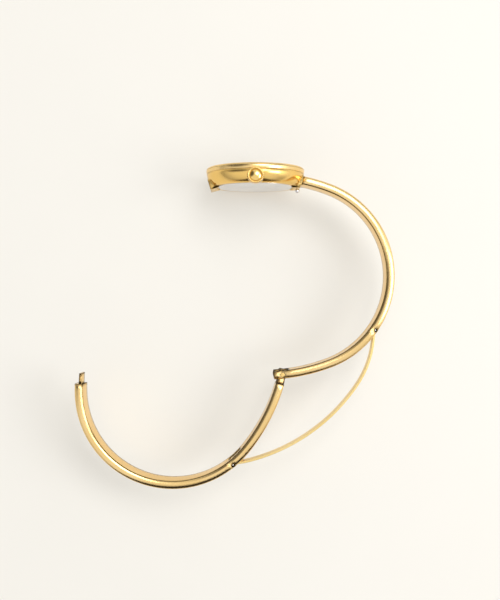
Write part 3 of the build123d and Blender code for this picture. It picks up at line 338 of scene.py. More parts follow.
def add_rounding(tree: bpy.types.NodeTree, radius: float, samples: int) -> bpy.types.NodeSocket:
    """Add a normal that is rounded over the sharp edges.

    Args:
        tree: The node tree.
        radius: Radius of the rounding, in metres.
        samples: Rays per point.

    Returns:
        The normal's socket.
    """
    around = tree.nodes.new("ShaderNodeBevel")
    around.samples = samples
    around.inputs["Radius"].default_value = radius
    return around.outputs["Normal"]


@dataclass(frozen=True)
class Metal:
    """A worked metal surface, whose tone, gloss and fine scratches vary.

    Its edges are shaded round with the edge radius. Where a shade width is set, a line of
    painted shade runs along its sharp edges: its colour and specular tint are darkened there,
    standing in for the shade and dark reflection along them. Where it is seen at a grazing
    angle it takes the graze tint.
    """

    name: str
    low: Triple
    high: Triple
    smooth: float
    rough: float
    tone_scale: float = 120.0
    tone_detail: float = 3.0
    grain: Triple = EVEN
    grain_scale: float = 4000.0
    grain_detail: float = 4.0
    scratch: float = 0.006
    scratch_depth: float = 0.0001
    edge: float = 0.00006
    edge_samples: int = 6
    graze: Triple = (1.0, 0.93, 0.8)
    # a line of painted shade along sharp edges: its width, rays, thresholds and near-black tone
    painted_shade_width: float = 0.0
    painted_shade_samples: int = 8
    painted_shade_full: float = 0.82
    painted_shade_clear: float = 0.92
    painted_shade_tone: Triple = (0.03, 0.016, 0.005)

    def painted_shade_share(self, tree: bpy.types.NodeTree) -> bpy.types.NodeSocket:
        """Find a narrow line of painted shade along sharp edges.

        The painted shade lies where the dot product of the face's normal and the normal
        rounded over the shade width is below painted_shade_full, and fades to
        painted_shade_clear.

        Args:
            tree: The node tree.

        Returns:
            A socket that is 1 in the line and 0 away from it.
        """
        around = add_rounding(tree, self.painted_shade_width, self.painted_shade_samples)
        face = tree.nodes.new("ShaderNodeNewGeometry")
        agree = tree.nodes.new("ShaderNodeVectorMath")
        agree.operation = "DOT_PRODUCT"
        tree.links.new(around, agree.inputs[0])
        tree.links.new(face.outputs["True Normal"], agree.inputs[1])
        share = add_range(tree, agree.outputs["Value"], (self.painted_shade_full, self.painted_shade_clear),
                          (1.0, 0.0))
        return share.outputs["Result"]

    def painted_shade_mix(self, tree: bpy.types.NodeTree, share: bpy.types.NodeSocket) -> bpy.types.Node:
        """Add a mix towards the painted shade's tone.

        Args:
            tree: The node tree.
            share: How much of the painted shade's tone is mixed in.

        Returns:
            The mix node, whose input A takes the colour to darken.
        """
        mix = tree.nodes.new("ShaderNodeMix")
        mix.data_type = "RGBA"
        mix.inputs["B"].default_value = (*self.painted_shade_tone, 1.0)
        tree.links.new(share, mix.inputs["Factor"])
        return mix

    def make(self) -> bpy.types.Material:
        """Build the material: tone by broad noise, gloss and scratches by finer noise.

        Returns:
            The material, with painted shade along its sharp edges when the metal has them.
        """
        material, tree, shader = blank_material(self.name)
        shader.inputs["Metallic"].default_value = 1.0
        shader.inputs["Specular Tint"].default_value = (*self.graze, 1.0)
        broad = add_noise(tree, EVEN, self.tone_scale, self.tone_detail)
        colour = add_ramp(tree, broad, self.low, self.high)
        # painted shade: darken the base colour and the specular tint along sharp edges
        if self.painted_shade_width:
            share = self.painted_shade_share(tree)
            body, rim = self.painted_shade_mix(tree, share), self.painted_shade_mix(tree, share)
            tree.links.new(colour, body.inputs["A"])
            rim.inputs["A"].default_value = (*self.graze, 1.0)
            tree.links.new(rim.outputs["Result"], shader.inputs["Specular Tint"])
            colour = body.outputs["Result"]
        tree.links.new(colour, shader.inputs["Base Color"])
        fine = add_noise(tree, self.grain, self.grain_scale, self.grain_detail)
        gloss = add_range(tree, fine, (NOISE_LOW, NOISE_HIGH), (self.smooth, self.rough))
        tree.links.new(gloss.outputs["Result"], shader.inputs["Roughness"])
        bump = add_bump(tree, fine, self.scratch, self.scratch_depth)
        tree.links.new(add_rounding(tree, self.edge, self.edge_samples), bump.inputs["Normal"])
        tree.links.new(bump.outputs["Normal"], shader.inputs["Normal"])
        return material


@dataclass(frozen=True)
class Moulded:
    """Rubber, plastic, print or board: a soft surface with fine mottling."""

    name: str
    low: Triple
    high: Triple
    smooth: float
    rough: float
    grain_scale: float = 1500.0
    grain_detail: float = 4.0
    bump: float = 0.1
    bump_depth: float = 0.00005

    def make(self) -> bpy.types.Material:
        """Build the material: tone, gloss and a fine bump from one noise.

        Returns:
            The material.
        """
        material, tree, shader = blank_material(self.name)
        fine = add_noise(tree, EVEN, self.grain_scale, self.grain_detail)
        gloss = add_range(tree, fine, (NOISE_LOW, NOISE_HIGH), (self.smooth, self.rough))
        bump = add_bump(tree, fine, self.bump, self.bump_depth)
        tree.links.new(add_ramp(tree, fine, self.low, self.high), shader.inputs["Base Color"])
        tree.links.new(gloss.outputs["Result"], shader.inputs["Roughness"])
        tree.links.new(bump.outputs["Normal"], shader.inputs["Normal"])
        return material


@dataclass(frozen=True)
class Sunray:
    """Lacquered dial with fine brushed rays from its centre."""

    name: str
    low: Triple
    high: Triple
    smooth: float = 0.22
    rough: float = 0.42
    ray_scale: float = 60.0
    ray_detail: float = 5.0
    metal: float = 0.35
    lacquer: float = 0.6
    lacquer_rough: float = 0.05
    bump: float = 0.08
    bump_depth: float = 0.00005

    def make(self) -> bpy.types.Material:
        """Build the material: noise over the angle round the head's axis, atan2(z, x).

        Returns:
            The material.
        """
        material, tree, shader = blank_material(self.name)
        where = tree.nodes.new("ShaderNodeTexCoord")
        split = tree.nodes.new("ShaderNodeSeparateXYZ")
        angle = tree.nodes.new("ShaderNodeMath")
        angle.operation = "ARCTAN2"
        noise = tree.nodes.new("ShaderNodeTexNoise")
        noise.noise_dimensions = "1D"
        noise.inputs["Scale"].default_value = self.ray_scale
        noise.inputs["Detail"].default_value = self.ray_detail
        tree.links.new(where.outputs["Object"], split.inputs["Vector"])
        tree.links.new(split.outputs["Z"], angle.inputs[0])
        tree.links.new(split.outputs["X"], angle.inputs[1])
        tree.links.new(angle.outputs["Value"], noise.inputs["W"])
        rays = noise.outputs["Fac"]
        gloss = add_range(tree, rays, (NOISE_LOW, NOISE_HIGH), (self.smooth, self.rough))
        bump = add_bump(tree, rays, self.bump, self.bump_depth)
        tree.links.new(add_ramp(tree, rays, self.low, self.high), shader.inputs["Base Color"])
        tree.links.new(gloss.outputs["Result"], shader.inputs["Roughness"])
        tree.links.new(bump.outputs["Normal"], shader.inputs["Normal"])
        shader.inputs["Metallic"].default_value = self.metal
        shader.inputs["Coat Weight"].default_value = self.lacquer
        shader.inputs["Coat Roughness"].default_value = self.lacquer_rough
        return material


@dataclass(frozen=True)
class Crystal:
    """Clear mineral glass with the faintest unevenness of tint and polish."""

    name: str
    low: Triple = (0.972, 0.984, 0.984)
    high: Triple = (0.988, 0.996, 0.996)
    smooth: float = 0.01
    rough: float = 0.05
    haze_scale: float = 200.0
    haze_detail: float = 2.0
    bend: float = 1.45

    def make(self) -> bpy.types.Material:
        """Build the material: full transmission, tint and gloss by broad noise.

        Returns:
            The material.
        """
        material, tree, shader = blank_material(self.name)
        shader.inputs["Transmission Weight"].default_value = 1.0
        shader.inputs["IOR"].default_value = self.bend
        haze = add_noise(tree, EVEN, self.haze_scale, self.haze_detail)
        gloss = add_range(tree, haze, (NOISE_LOW, NOISE_HIGH), (self.smooth, self.rough))
        tree.links.new(add_ramp(tree, haze, self.low, self.high), shader.inputs["Base Color"])
        tree.links.new(gloss.outputs["Result"], shader.inputs["Roughness"])
        return material


Finish = Metal | Moulded | Sunray | Crystal

GOLD = Metal("polished_gold_plate", low=(0.85, 0.56, 0.17), high=(0.92, 0.63, 0.23),
             smooth=0.14, rough=0.20, grain=(1.0, 1.0, 6.0), edge=0.0003)
GOLD_CASE = Metal("case_gold_plate", low=(0.85, 0.56, 0.17), high=(0.92, 0.63, 0.23),
                  smooth=0.14, rough=0.20, grain=(1.0, 6.0, 1.0), edge=0.0016, edge_samples=16)
# the band gold has a line of painted shade along its sharp edges
GOLD_BAND = Metal("band_gold_plate", low=(0.86, 0.60, 0.25), high=(0.92, 0.67, 0.32),
                  smooth=0.09, rough=0.16, grain=(6.0, 6.0, 1.0), edge=0.0019, edge_samples=16,
                  graze=(0.98, 0.87, 0.68), painted_shade_width=0.0012)
GOLD_PIN = Metal("riveted_pin_gold", low=(0.85, 0.57, 0.19), high=(0.92, 0.64, 0.25),
                 smooth=0.12, rough=0.20, edge=0.00016)
GOLD_CROWN = Metal("crown_gold_plate", low=(0.84, 0.58, 0.20), high=(0.91, 0.65, 0.26),
                   smooth=0.05, rough=0.10, edge=0.00003)
GOLD_PALE = Metal("bezel_gold_plate", low=(0.87, 0.62, 0.27), high=(0.94, 0.70, 0.35),
                  smooth=0.18, rough=0.30)
GOLD_SPRING = Metal("spring_gold_plate", low=(0.78, 0.58, 0.22), high=(0.85, 0.66, 0.30),
                    smooth=0.22, rough=0.34, grain=(1.0, 1.0, 10.0))
GOLD_HANDS = Metal("hand_gold_plate", low=(0.82, 0.56, 0.22), high=(0.90, 0.66, 0.30),
                   smooth=0.06, rough=0.14, edge=0.00001)
STEEL_BACK = Metal("brushed_case_back_steel", low=(0.74, 0.74, 0.75), high=(0.86, 0.86, 0.87),
                   smooth=0.16, rough=0.30, grain=(1.0, 1.0, 14.0), scratch=0.05, graze=EVEN)
STEEL_PIN = Metal("polished_pin_steel", low=(0.62, 0.62, 0.63), high=(0.74, 0.74, 0.76),
                  smooth=0.06, rough=0.14, edge=0.00003)
NICKEL = Metal("nickel_plate_striped", low=(0.56, 0.55, 0.52), high=(0.68, 0.67, 0.64),
               smooth=0.20, rough=0.36, grain=(9.0, 1.0, 1.0), scratch=0.08, edge=0.00002)
GILT = Metal("gilt_wheel_brass", low=(0.74, 0.53, 0.22), high=(0.83, 0.62, 0.30),
             smooth=0.16, rough=0.28, edge=0.00001)
CELL = Metal("cell_can_steel", low=(0.58, 0.59, 0.60), high=(0.70, 0.71, 0.72),
             smooth=0.14, rough=0.26, scratch=0.04)
COPPER = Metal("enamelled_copper_wire", low=(0.62, 0.22, 0.08), high=(0.78, 0.34, 0.14),
               smooth=0.18, rough=0.30, edge=0.00001)
RUBBER = Moulded("gasket_nitrile_rubber", low=(0.015, 0.015, 0.015), high=(0.04, 0.04, 0.04),
                 smooth=0.45, rough=0.65)
HOLDER = Moulded("holder_white_plastic", low=(0.66, 0.64, 0.58), high=(0.76, 0.74, 0.68),
                 smooth=0.35, rough=0.5)
CHIP = Moulded("chip_black_epoxy", low=(0.02, 0.02, 0.022), high=(0.05, 0.05, 0.05),
               smooth=0.3, rough=0.5)
BOARD = Moulded("circuit_board_green", low=(0.02, 0.14, 0.07), high=(0.05, 0.24, 0.12),
                smooth=0.25, rough=0.45, grain_scale=700.0)
INK = Moulded("black_dial_print", low=(0.02, 0.018, 0.015), high=(0.05, 0.045, 0.04),
              smooth=0.3, rough=0.4)
DIAL_FACE = Sunray("cream_sunray_lacquer", low=(0.74, 0.68, 0.56), high=(0.86, 0.81, 0.70))
GLASS = Crystal("mineral_crystal")
VELVET = Moulded("card_velvet", low=(0.010, 0.007, 0.004), high=(0.016, 0.011, 0.007),
                 smooth=0.9, rough=1.0, grain_scale=400.0, bump=0.0)
PAPER = Moulded("floor_card", low=(0.495, 0.484, 0.455), high=(0.505, 0.494, 0.465),
                smooth=0.7, rough=0.8, grain_scale=40.0, bump=0.0)


class Wardrobe:
    """Makes each finish once and puts it on pieces."""

    def __init__(self) -> None:
        """Start with no materials made."""
        self.made: dict[str, bpy.types.Material] = {}

    def dress(self, piece: bpy.types.Object, finish: Finish) -> None:
        """Give a piece one finish in all its material slots.

        Args:
            piece: A CAD node or a new piece.
            finish: The finish to put on it.
        """
        if finish.name not in self.made:
            self.made[finish.name] = finish.make()
        slots = piece.data.materials
        if len(slots) == 0:
            slots.append(self.made[finish.name])
        for place in range(len(slots)):
            slots[place] = self.made[finish.name]


# sub-assemblies


@dataclass
class Assembly:
    """What every sub-assembly shares: the frame's nodes, the wardrobe and the kept nodes."""

    nodes: dict[str, bpy.types.Object]
    wardrobe: Wardrobe
    kept: dict[str, Finish] = field(default_factory=dict)

    def dress_kept(self) -> None:
        """Dress the CAD nodes that stay as they are."""
        for name, finish in self.kept.items():
            self.wardrobe.dress(self.nodes[name], finish)
            log.info("kept %s in %s", name, finish.name)

    def settle(self, piece: bpy.types.Object, body: str, node: str, slot: str,
               finish: Finish) -> None:
        """Dress a new piece, set it on its body and let it stand for a CAD node.

        Args:
            piece: The new piece.
            body: The CAD body that it rides on.
            node: The CAD node that it stands for, or an empty string.
            slot: Not used.
            finish: Its finish.
        """
        self.wardrobe.dress(piece, finish)
        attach(piece, body)
        if node:
            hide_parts(node)
        log.info("made %s on %s with %d faces", piece.name, body, len(piece.data.polygons))


@dataclass
class Bangle(Assembly):
    """The two band halves, the hinge, the bow spring with its pins, and the release bar."""

    pin_setback: float = 0.05
    dome_drop: float = 0.15
    dome_rings: int = 12
    neck_share: float = 0.56
    neck_depth: float = 0.6
    neck_bevel: float = 0.04
    pin_steps: int = 48
    release_travel: float = 1.0
    kept: dict[str, Finish] = field(default_factory=lambda: {
        "right_half": GOLD_BAND, "left_half": GOLD_BAND, "bow_spring": GOLD_SPRING,
        "hinge_pins": GOLD_PIN, "release_pin": STEEL_PIN, "release_bar": STEEL_PIN,
        "release_spring": STEEL_PIN})

    def necked_pin(self, name: str, node: str) -> bpy.types.Object:
        """Turn a pin whose two ends are domed necks, set back in their holes.

        The dome is z = end - setback - drop * (1 - sqrt(1 - (r / neck)^2)) for radii
        up to the neck's.

        Args:
            name: Name of the new piece.
            node: The CAD pin that gives its place, radius and length.

        Returns:
            The new piece.
        """
        low, high = (np.array(v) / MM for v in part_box(node))
        centre, size = (low + high) / 2, (high - low) / 2
        radius, half = size[0], size[2]
        neck, foot = radius * self.neck_share, half - self.neck_depth
        share = np.sin(np.linspace(0, np.pi / 2, self.dome_rings))
        fall = self.dome_drop * (1 - np.sqrt(1 - share**2))
        dome = np.stack([neck * share, half - self.pin_setback - fall], axis=1)
        upper = np.vstack([dome, [(neck, foot), (radius - self.neck_bevel, foot),
                                  (radius, foot - self.neck_bevel)]])
        outline = np.vstack([upper, upper[::-1] * np.array([1.0, -1.0])])
        return put_grid(name, turned(outline, Axle.STEM, self.pin_steps, tuple(centre)),
                        wrap_v=True)

    def press_spring(self) -> None:
        """Give the release spring a mesh of its own."""
        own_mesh(self.nodes["release_spring"])

    def build(self) -> None:
        """Dress the halves, make the two spring pins and give the release spring its own mesh.
        """
        self.dress_kept()
        self.press_spring()
        self.settle(self.necked_pin("right_pin_domed", "right_spring_pin"), "fixed_half",
                    "right_spring_pin", "pin_steel", STEEL_PIN)
        self.settle(self.necked_pin("left_pin_domed", "left_spring_pin"), "free_half",
                    "left_spring_pin", "pin_steel", STEEL_PIN)


@dataclass
class Head(Assembly):
    """Case, bezel, crystal, case back and their gaskets, turned about the head's axis."""

    side_radius: float = 12.1
    side_height: float = 3.9
    side_round: float = 0.3
    foot_radius: float = 12.0
    foot_height: float = 3.3
    foot_round: float = 0.12
    shoulder: tuple[float, float] = (11.98, 4.62)
    shoulder_round: float = 0.5
    top_radius: float = 10.9
    top_height: float = 4.75
    top_round: float = 0.3
    bore_radius: float = 9.75
    bore_bevel: float = 0.3
    bore_round: float = 0.06
    lip_radius: float = 9.0
    lip_height: float = 3.85
    lip_round: float = 0.03
    round_steps: int = 8
    ring_steps: int = 256
    glass_radius: float = 9.4
    glass_edge: float = 4.5
    glass_edge_round: float = 0.06
    glass_foot_round: float = 0.05
    glass_bevel: float = 0.2
    glass_bevel_rise: float = 0.1
    glass_top: float = 4.74
    glass_round_steps: int = 5
    glass_steps: int = 160
    cap_rings: int = 24
    under_rings: int = 12
    under_share: float = 0.995
    kept: dict[str, Finish] = field(default_factory=lambda: {
        "case": GOLD_CASE, "case_back": STEEL_BACK, "case_back_gasket": RUBBER,
        "crystal_gasket": RUBBER})

    def bezel_ring(self) -> bpy.types.Object:
        """Turn the bezel: a rounded shoulder outside, a polished bevel inside, on a flat seat.

        Returns:
            The new piece.
        """
        corners = np.array([
            (self.lip_radius, self.foot_height, self.lip_round),
            (self.foot_radius, self.foot_height, self.foot_round),
            (self.side_radius, self.side_height, self.side_round),
            (*self.shoulder, self.shoulder_round),
            (self.top_radius, self.top_height, self.top_round),
            (self.bore_radius + self.bore_bevel, self.top_height, self.bore_round),
            (self.bore_radius, self.top_height - self.bore_bevel, self.bore_round),
            (self.bore_radius, self.lip_height, self.lip_round),
            (self.lip_radius, self.lip_height, self.lip_round)])
        outline = softened(corners[:, :2], corners[:, 2], self.round_steps, closed=True)
        return put_grid("bezel_ring", turned(outline, Axle.HEAD, self.ring_steps), wrap_u=True,
                        wrap_v=True)

    def crystal_dome(self) -> bpy.types.Object:
        """Turn the crystal, flat inside and domed outside.

        Outside it falls from its top by (r / R)^2 times the dome's height, down to a
        bevel at its edge.

        Returns:
            The new piece.
        """
        share = np.linspace(0, 1, self.cap_rings)
        cap_height = self.glass_top - self.glass_edge - self.glass_bevel_rise
        cap = np.stack([(self.glass_radius - self.glass_bevel) * share,
                        self.glass_top - cap_height * share**2], axis=1)
        corners = np.array([cap[-1], (self.glass_radius, self.glass_edge),
                            (self.glass_radius, self.lip_height), (0.0, self.lip_height)])
        reach = np.array([0.0, self.glass_edge_round, self.glass_foot_round, 0.0])
        edge = softened(corners, reach, self.glass_round_steps)[:-self.glass_round_steps]
        rings = np.linspace(self.under_share, 0, self.under_rings)
        under = np.stack([(self.glass_radius - self.glass_foot_round) * rings,
                          np.full(self.under_rings, self.lip_height)], axis=1)
        outline = np.vstack([cap, edge, under])
        return put_grid("crystal_dome", turned(outline, Axle.HEAD, self.glass_steps),
                        wrap_v=True)

    def build(self) -> None:
        """Dress the case and make the bezel and the crystal."""
        self.dress_kept()
        self.settle(self.bezel_ring(), "fixed_half", "bezel", "gold", GOLD_PALE)
        glass = self.crystal_dome()
        glass.visible_shadow = False
        self.settle(glass, "fixed_half", "crystal", "glass", GLASS)


@dataclass
class Winder(Assembly):
    """Crown, stem, tube, clutch and setting lever, on the stem's axis."""

    stem_height: float = 1.35
    back: float = 12.35
    front: float = 14.5
    radius: float = 2.05
    edge: float = 0.36
    edge_rings: int = 9
    rim_rings: int = 26
    bead_depth: float = 0.34
    bead_count: int = 28
    bead_steps: int = 14
    bead_fade: float = 4.0
    face_radius: float = 1.5
    face_setback: float = 0.02
    face_rings: int = 20
    dome: float = 0.42
    groove: float = 0.46
    groove_width: float = 0.03
    pocket_radius: float = 1.05
    pocket_end: float = 13.45
    pocket_bevel: float = 0.03
    kept: dict[str, Finish] = field(default_factory=lambda: {
        "crown_tube": GOLD, "crown_gasket": RUBBER, "stem": STEEL_PIN, "clutch_pinion": GILT,
        "setting_lever": STEEL_PIN})

    def crown_shell(self) -> bpy.types.Object:
        """Turn the crown with a beaded rim.

        The rim's radius drops by depth * (1 - |sin(n a / 2)|), with n beads, and the
        drop fades towards the two rounded edges as a sine of the place along the rim.
        Inside a groove the polished face is a dome that falls as dome * (r / R)^2.

        Returns:
            The new piece.
        """
        quarter = np.linspace(0, np.pi / 2, self.edge_rings)
        inner = self.radius - self.edge
        low, high = self.back + self.edge, self.front - self.edge
        back_edge = np.stack([inner + self.edge * np.sin(quarter),
                              low - self.edge * np.cos(quarter)], axis=1)
        front_edge = np.stack([inner + self.edge * np.cos(quarter),
                               high + self.edge * np.sin(quarter)], axis=1)
        place = np.linspace(0, 1, self.rim_rings)[1:-1]
        side = np.stack([np.full(len(place), self.radius),
                         low + place * (self.front - self.back - 2 * self.edge)], axis=1)
        rim = np.vstack([back_edge, side, front_edge])
        pocket = np.array([
            (0.0, self.pocket_end), (self.pocket_radius, self.pocket_end),
            (self.pocket_radius, self.back + self.pocket_bevel),
            (self.pocket_radius + self.pocket_bevel, self.back)])
        share = np.linspace(1, 0, self.face_rings)
        top = self.front - self.face_setback
        face = np.stack([self.face_radius * share, top - self.dome * share**2], axis=1)
        groove = [(self.face_radius + 2 * self.groove_width, top),
                  (self.face_radius + self.groove_width, self.front - self.groove)]
        outline = np.vstack([pocket, rim, groove, face])
        fade = np.zeros(len(outline))
        swell = self.bead_fade * np.sin(np.linspace(0, np.pi, len(rim)))
        fade[len(pocket):len(pocket) + len(rim)] = np.clip(swell, 0, 1)
        steps = self.bead_count * self.bead_steps
        angle = np.linspace(0, 2 * np.pi, steps, endpoint=False)
        drop = self.bead_depth * (1 - np.abs(np.sin(self.bead_count * angle / 2)))
        grid = turned(outline, Axle.STEM, steps, (0.0, self.stem_height, 0.0),
                      fade[:, None] * drop)
        return put_grid("crown_shell", grid, wrap_v=True)

    def build(self) -> None:
        """Dress the inner pieces and make the crown."""
        self.dress_kept()
        self.settle(self.crown_shell(), "crown", "crown", "gold_crown", GOLD_CROWN)


@dataclass(frozen=True)
class Bar:
    """Sizes of the bars round the dial: far end, length, width, shoulder and ridge."""

    outer: float
    length: float
    width: float
    shoulder: float
    ridge: float


@dataclass(frozen=True)
class HandShape:
    """What sets one hand apart: its reach, its level, its hub's hole and where it points."""

    reach: float
    level: float
    hole: float
    clock: float


@dataclass
class DialSide(Assembly):
    """Dial, track, hour batons and hands."""

    dial_top: float = 2.65
    baton: Bar = Bar(outer=8.1, length=1.5, width=0.32, shoulder=0.048, ridge=0.12)
    tick: Bar = Bar(outer=8.35, length=0.42, width=0.05, shoulder=0.012, ridge=0.012)
    hour: HandShape = HandShape(reach=4.9, level=2.86, hole=0.5, clock=304.5)
    minute: HandShape = HandShape(reach=7.2, level=3.06, hole=0.3, clock=54.0)
    tail_reach: float = 1.4
    hub_radius: float = 0.75
    hub_foot_bevel: float = 0.04
    hub_top_bevel: float = 0.05
    hub_steps: int = 64
    root_width: float = 0.5
    tip_width: float = 0.24
    tip_rate: float = 30.0
    blade: float = 0.1
    blade_shoulder: float = 0.45
    blade_rows: int = 40
    kept: dict[str, Finish] = field(default_factory=lambda: {
        "dial": DIAL_FACE, "dial_ring": DIAL_FACE, "hand_cap": GOLD_HANDS})

    def bars(self, name: str, clocks: np.ndarray, bar: Bar) -> bpy.types.Object:
        """Make one small bar at each clock angle, as one mesh.

        A bar has four bottom corners, four shoulder corners and a ridge of two
        points, drawn in from the ends by half its width.

        Args:
            name: Name of the piece.
            clocks: Clock angles in degrees.
            bar: Sizes of one bar.

        Returns:
            The new piece.
        """
        w, inner, outer = bar.width / 2, bar.outer - bar.length, bar.outer
        along = np.array([inner, outer, outer, inner] * 2 + [inner + w, outer - w])
        across = np.array([-w, -w, w, w] * 2 + [0.0, 0.0])
        level = self.dial_top + np.array([0.0] * 4 + [bar.shoulder] * 4 + [bar.ridge] * 2)
        points = np.concatenate([on_dial(along, across, level, clock) for clock in clocks])
        sides = [(0, 1, 2, 3), (0, 4, 5, 1), (1, 5, 6, 2), (2, 6, 7, 3), (3, 7, 4, 0),
                 (4, 8, 9, 5), (5, 9, 6), (6, 9, 8, 7), (7, 8, 4)]
        starts = range(0, len(points), len(along))
        faces = [tuple(start + corner for corner in side) for start in starts for side in sides]
        return put_mesh(name, points, faces, smooth=False)

    def hand(self, name: str, shape: HandShape) -> bpy.types.Object:
        """Make a hand with a ridge along its blade and a bevelled hub.

        The blade is a grid: along it from tail to tip, and across it over five lines
        whose heights go edge, shoulder, ridge, shoulder, edge. Its width goes evenly
        from root to tip, times sqrt(rate * (1 - share)) or 1, whichever is less, so
        it closes at the tip. The tail's end is open. The hub is a turned ring.

        Args:
            name: Name of the piece.
            shape: Sizes of this hand.

        Returns:
            The new piece.
        """
        share = np.linspace(0, 1, self.blade_rows)
        along = -self.tail_reach + share * (shape.reach + self.tail_reach)
        half = (self.root_width + (self.tip_width - self.root_width) * share) / 2
        point = np.clip((1 - share) * self.tip_rate, 0, 1) ** 0.5
        lines = np.array([-1.0, -1.0, 0.0, 1.0, 1.0])
        rise = np.array([0.0, self.blade_shoulder, 1.0, self.blade_shoulder, 0.0]) * self.blade
        across = half[:, None] * lines * point[:, None]
        height = shape.level + np.repeat(rise[None], len(share), axis=0)
        spine = np.repeat(along[:, None], len(lines), axis=1)
        blade = on_dial(spine, across, height, shape.clock)
        top = shape.level + self.blade
        outline = np.array([
            (shape.hole, shape.level), (self.hub_radius - self.hub_foot_bevel, shape.level),
            (self.hub_radius, shape.level + self.hub_foot_bevel),
            (self.hub_radius - self.hub_top_bevel, top), (shape.hole, top)])
        hub = turned(outline, Axle.HEAD, self.hub_steps)
        points = np.vstack([blade.reshape(-1, 3), hub.reshape(-1, 3)])
        blade_index = np.arange(spine.size).reshape(spine.shape)
        hub_index = np.arange(spine.size, len(points)).reshape(hub.shape[:2])
        faces = np.vstack([grid_faces(blade_index, wrap_v=True),
                           grid_faces(hub_index, wrap_u=True, wrap_v=True)])
        return put_mesh(name, points, faces.tolist(), smooth=False)

    def build(self) -> None:
        """Dress the dial and make the batons, the minute track and the hands."""
        self.dress_kept()
        hours = np.arange(12) * 30.0
        minutes = np.array([minute * 6.0 for minute in range(60) if minute % 5])
        self.settle(self.bars("hour_batons", hours, self.baton), "fixed_half", "hour_markers",
                    "gold_hands", GOLD_HANDS)
        self.settle(self.bars("minute_track", minutes, self.tick), "fixed_half", "",
                    "dial_face", INK)
        self.settle(self.hand("hour_hand_blade", self.hour), "hour_work", "hour_hand",
                    "gold_hands", GOLD_HANDS)
        self.settle(self.hand("minute_hand_blade", self.minute), "minute_work", "minute_hand",
                    "gold_hands", GOLD_HANDS)


@dataclass
class Movement(Assembly):
    """Plate, bridge, train, battery, coil and circuit, closed in the case."""

    coil_centre: Triple = (5.55, 1.28, -0.6)
    coil_radius: float = 0.46
    coil_half: float = 1.55
    coil_steps: int = 48
    flange_radius: float = 0.56
    flange: float = 0.12
    flange_bevel: float = 0.03
    winds: int = 34
    wind_rings: int = 8
    ripple: float = 0.02
    kept: dict[str, Finish] = field(default_factory=lambda: {
        "main_plate": NICKEL, "train_bridge": NICKEL, "bridge_screws": STEEL_PIN,
        "battery": CELL, "battery_clamp": NICKEL, "stator": NICKEL, "coil_core": NICKEL,
        "circuit_board": BOARD, "time_chip": CHIP, "quartz_can": CELL,
        "movement_holder": HOLDER, "centre_wheel": GILT, "third_wheel": GILT,
        "intermediate_wheel": GILT, "rotor": GILT, "cannon_pinion": GILT,
        "minute_wheel": GILT, "hour_wheel": GILT})

    def coil_winding(self) -> bpy.types.Object:
        """Turn the coil about its own axis along the stem's direction.

        Between two flanges the radius is R - ripple * (1 - |cos(pi n s)|), with n
        turns of wire in view and s the share of the length.

        Returns:
            The new piece.
        """
        share = np.linspace(0, 1, self.winds * self.wind_rings + 1)
        inner = self.coil_half - self.flange
        wave = self.ripple * (1 - np.abs(np.cos(np.pi * self.winds * share)))
        wire = np.stack([self.coil_radius - wave, (2 * share - 1) * inner], axis=1)
        left = np.array([(0.0, -self.coil_half),
                         (self.flange_radius - self.flange_bevel, -self.coil_half),
                         (self.flange_radius, -self.coil_half + self.flange_bevel),
                         (self.flange_radius, -inner)])
        outline = np.vstack([left, wire, left[::-1] * np.array([1.0, -1.0])])
        grid = turned(outline, Axle.STEM, self.coil_steps, self.coil_centre)
        return put_grid("coil_winding", grid, wrap_v=True)

    def build(self) -> None:
        """Dress the movement and make the coil's winding."""
        self.dress_kept()
        self.settle(self.coil_winding(), "fixed_half", "coil", "copper_coil", COPPER)


# studio


@dataclass(frozen=True)
class Softbox:
    """A square lamp that looks at the watch."""

    name: str
    place: Triple
    side: float
    power: float
    tint: Triple = EVEN

    def make(self, target: Vector) -> None:
        """Make the lamp and turn it to a target.

        Args:
            target: The point that it looks at.
        """
        lamp = bpy.data.lights.new(self.name, "AREA")
        lamp.shape = "SQUARE"
        lamp.size = self.side
        lamp.energy = self.power
        lamp.color = self.tint
        holder = bpy.data.objects.new(self.name, lamp)
        holder.location = self.place
        aim = (target - Vector(self.place)).to_track_quat("-Z", "Y")
        holder.rotation_euler = aim.to_euler()
        bpy.context.scene.collection.objects.link(holder)
        log.info("hung %s", self.name)


@dataclass(frozen=True)
class Flag:
    """A dark or bright patch of the sky, hidden from the camera.

    Up to the full angle from its direction the sky is multiplied by its tone, and
    past the clear angle it is left alone. Angles are in degrees.
    """

    towards: Triple
    full_angle: float
    clear_angle: float
    tone: float

    def share(self, tree: bpy.types.NodeTree,
              direction: bpy.types.NodeSocket) -> bpy.types.NodeSocket:
        """Find what the flag multiplies the sky by.

        Args:
            tree: The sky's node tree.
            direction: The direction looked in.

        Returns:
            A socket that is the flag's tone in its middle and 1 outside it.
        """
        lean = tree.nodes.new("ShaderNodeVectorMath")
        lean.operation = "DOT_PRODUCT"
        lean.inputs[1].default_value = Vector(self.towards).normalized()
        tree.links.new(direction, lean.inputs[0])
        reach = (math.cos(math.radians(self.clear_angle)),
                 math.cos(math.radians(self.full_angle)))
        fade = add_range(tree, lean.outputs["Value"], reach, (1.0, self.tone))
        fade.interpolation_type = "SMOOTHSTEP"
        return fade.outputs["Result"]


@dataclass(frozen=True)
class Card:
    """An upright dark card beside the watch, seen only as a reflection.

    Its sizes are in millimetres: its two ends in X, how far they slant inward, its
    place in Y, and its foot and top in Z.
    """

    name: str
    left: float
    right: float
    slant: float
    place: float
    foot: float
    top: float

    def make(self) -> None:
        """Stand the card across Y as one face that only glossy rays meet."""
        corners = np.array([
            (self.left, self.place, self.foot), (self.right, self.place, self.foot),
            (self.right - self.slant, self.place, self.top),
            (self.left + self.slant, self.place, self.top)])
        card = put_mesh(self.name, corners, [(0, 1, 2, 3)], smooth=False)
        card.data.materials.append(VELVET.make())
        card.visible_camera = False
        card.visible_diffuse = False
        card.visible_transmission = False
        card.visible_shadow = False
        log.info("stood %s", self.name)


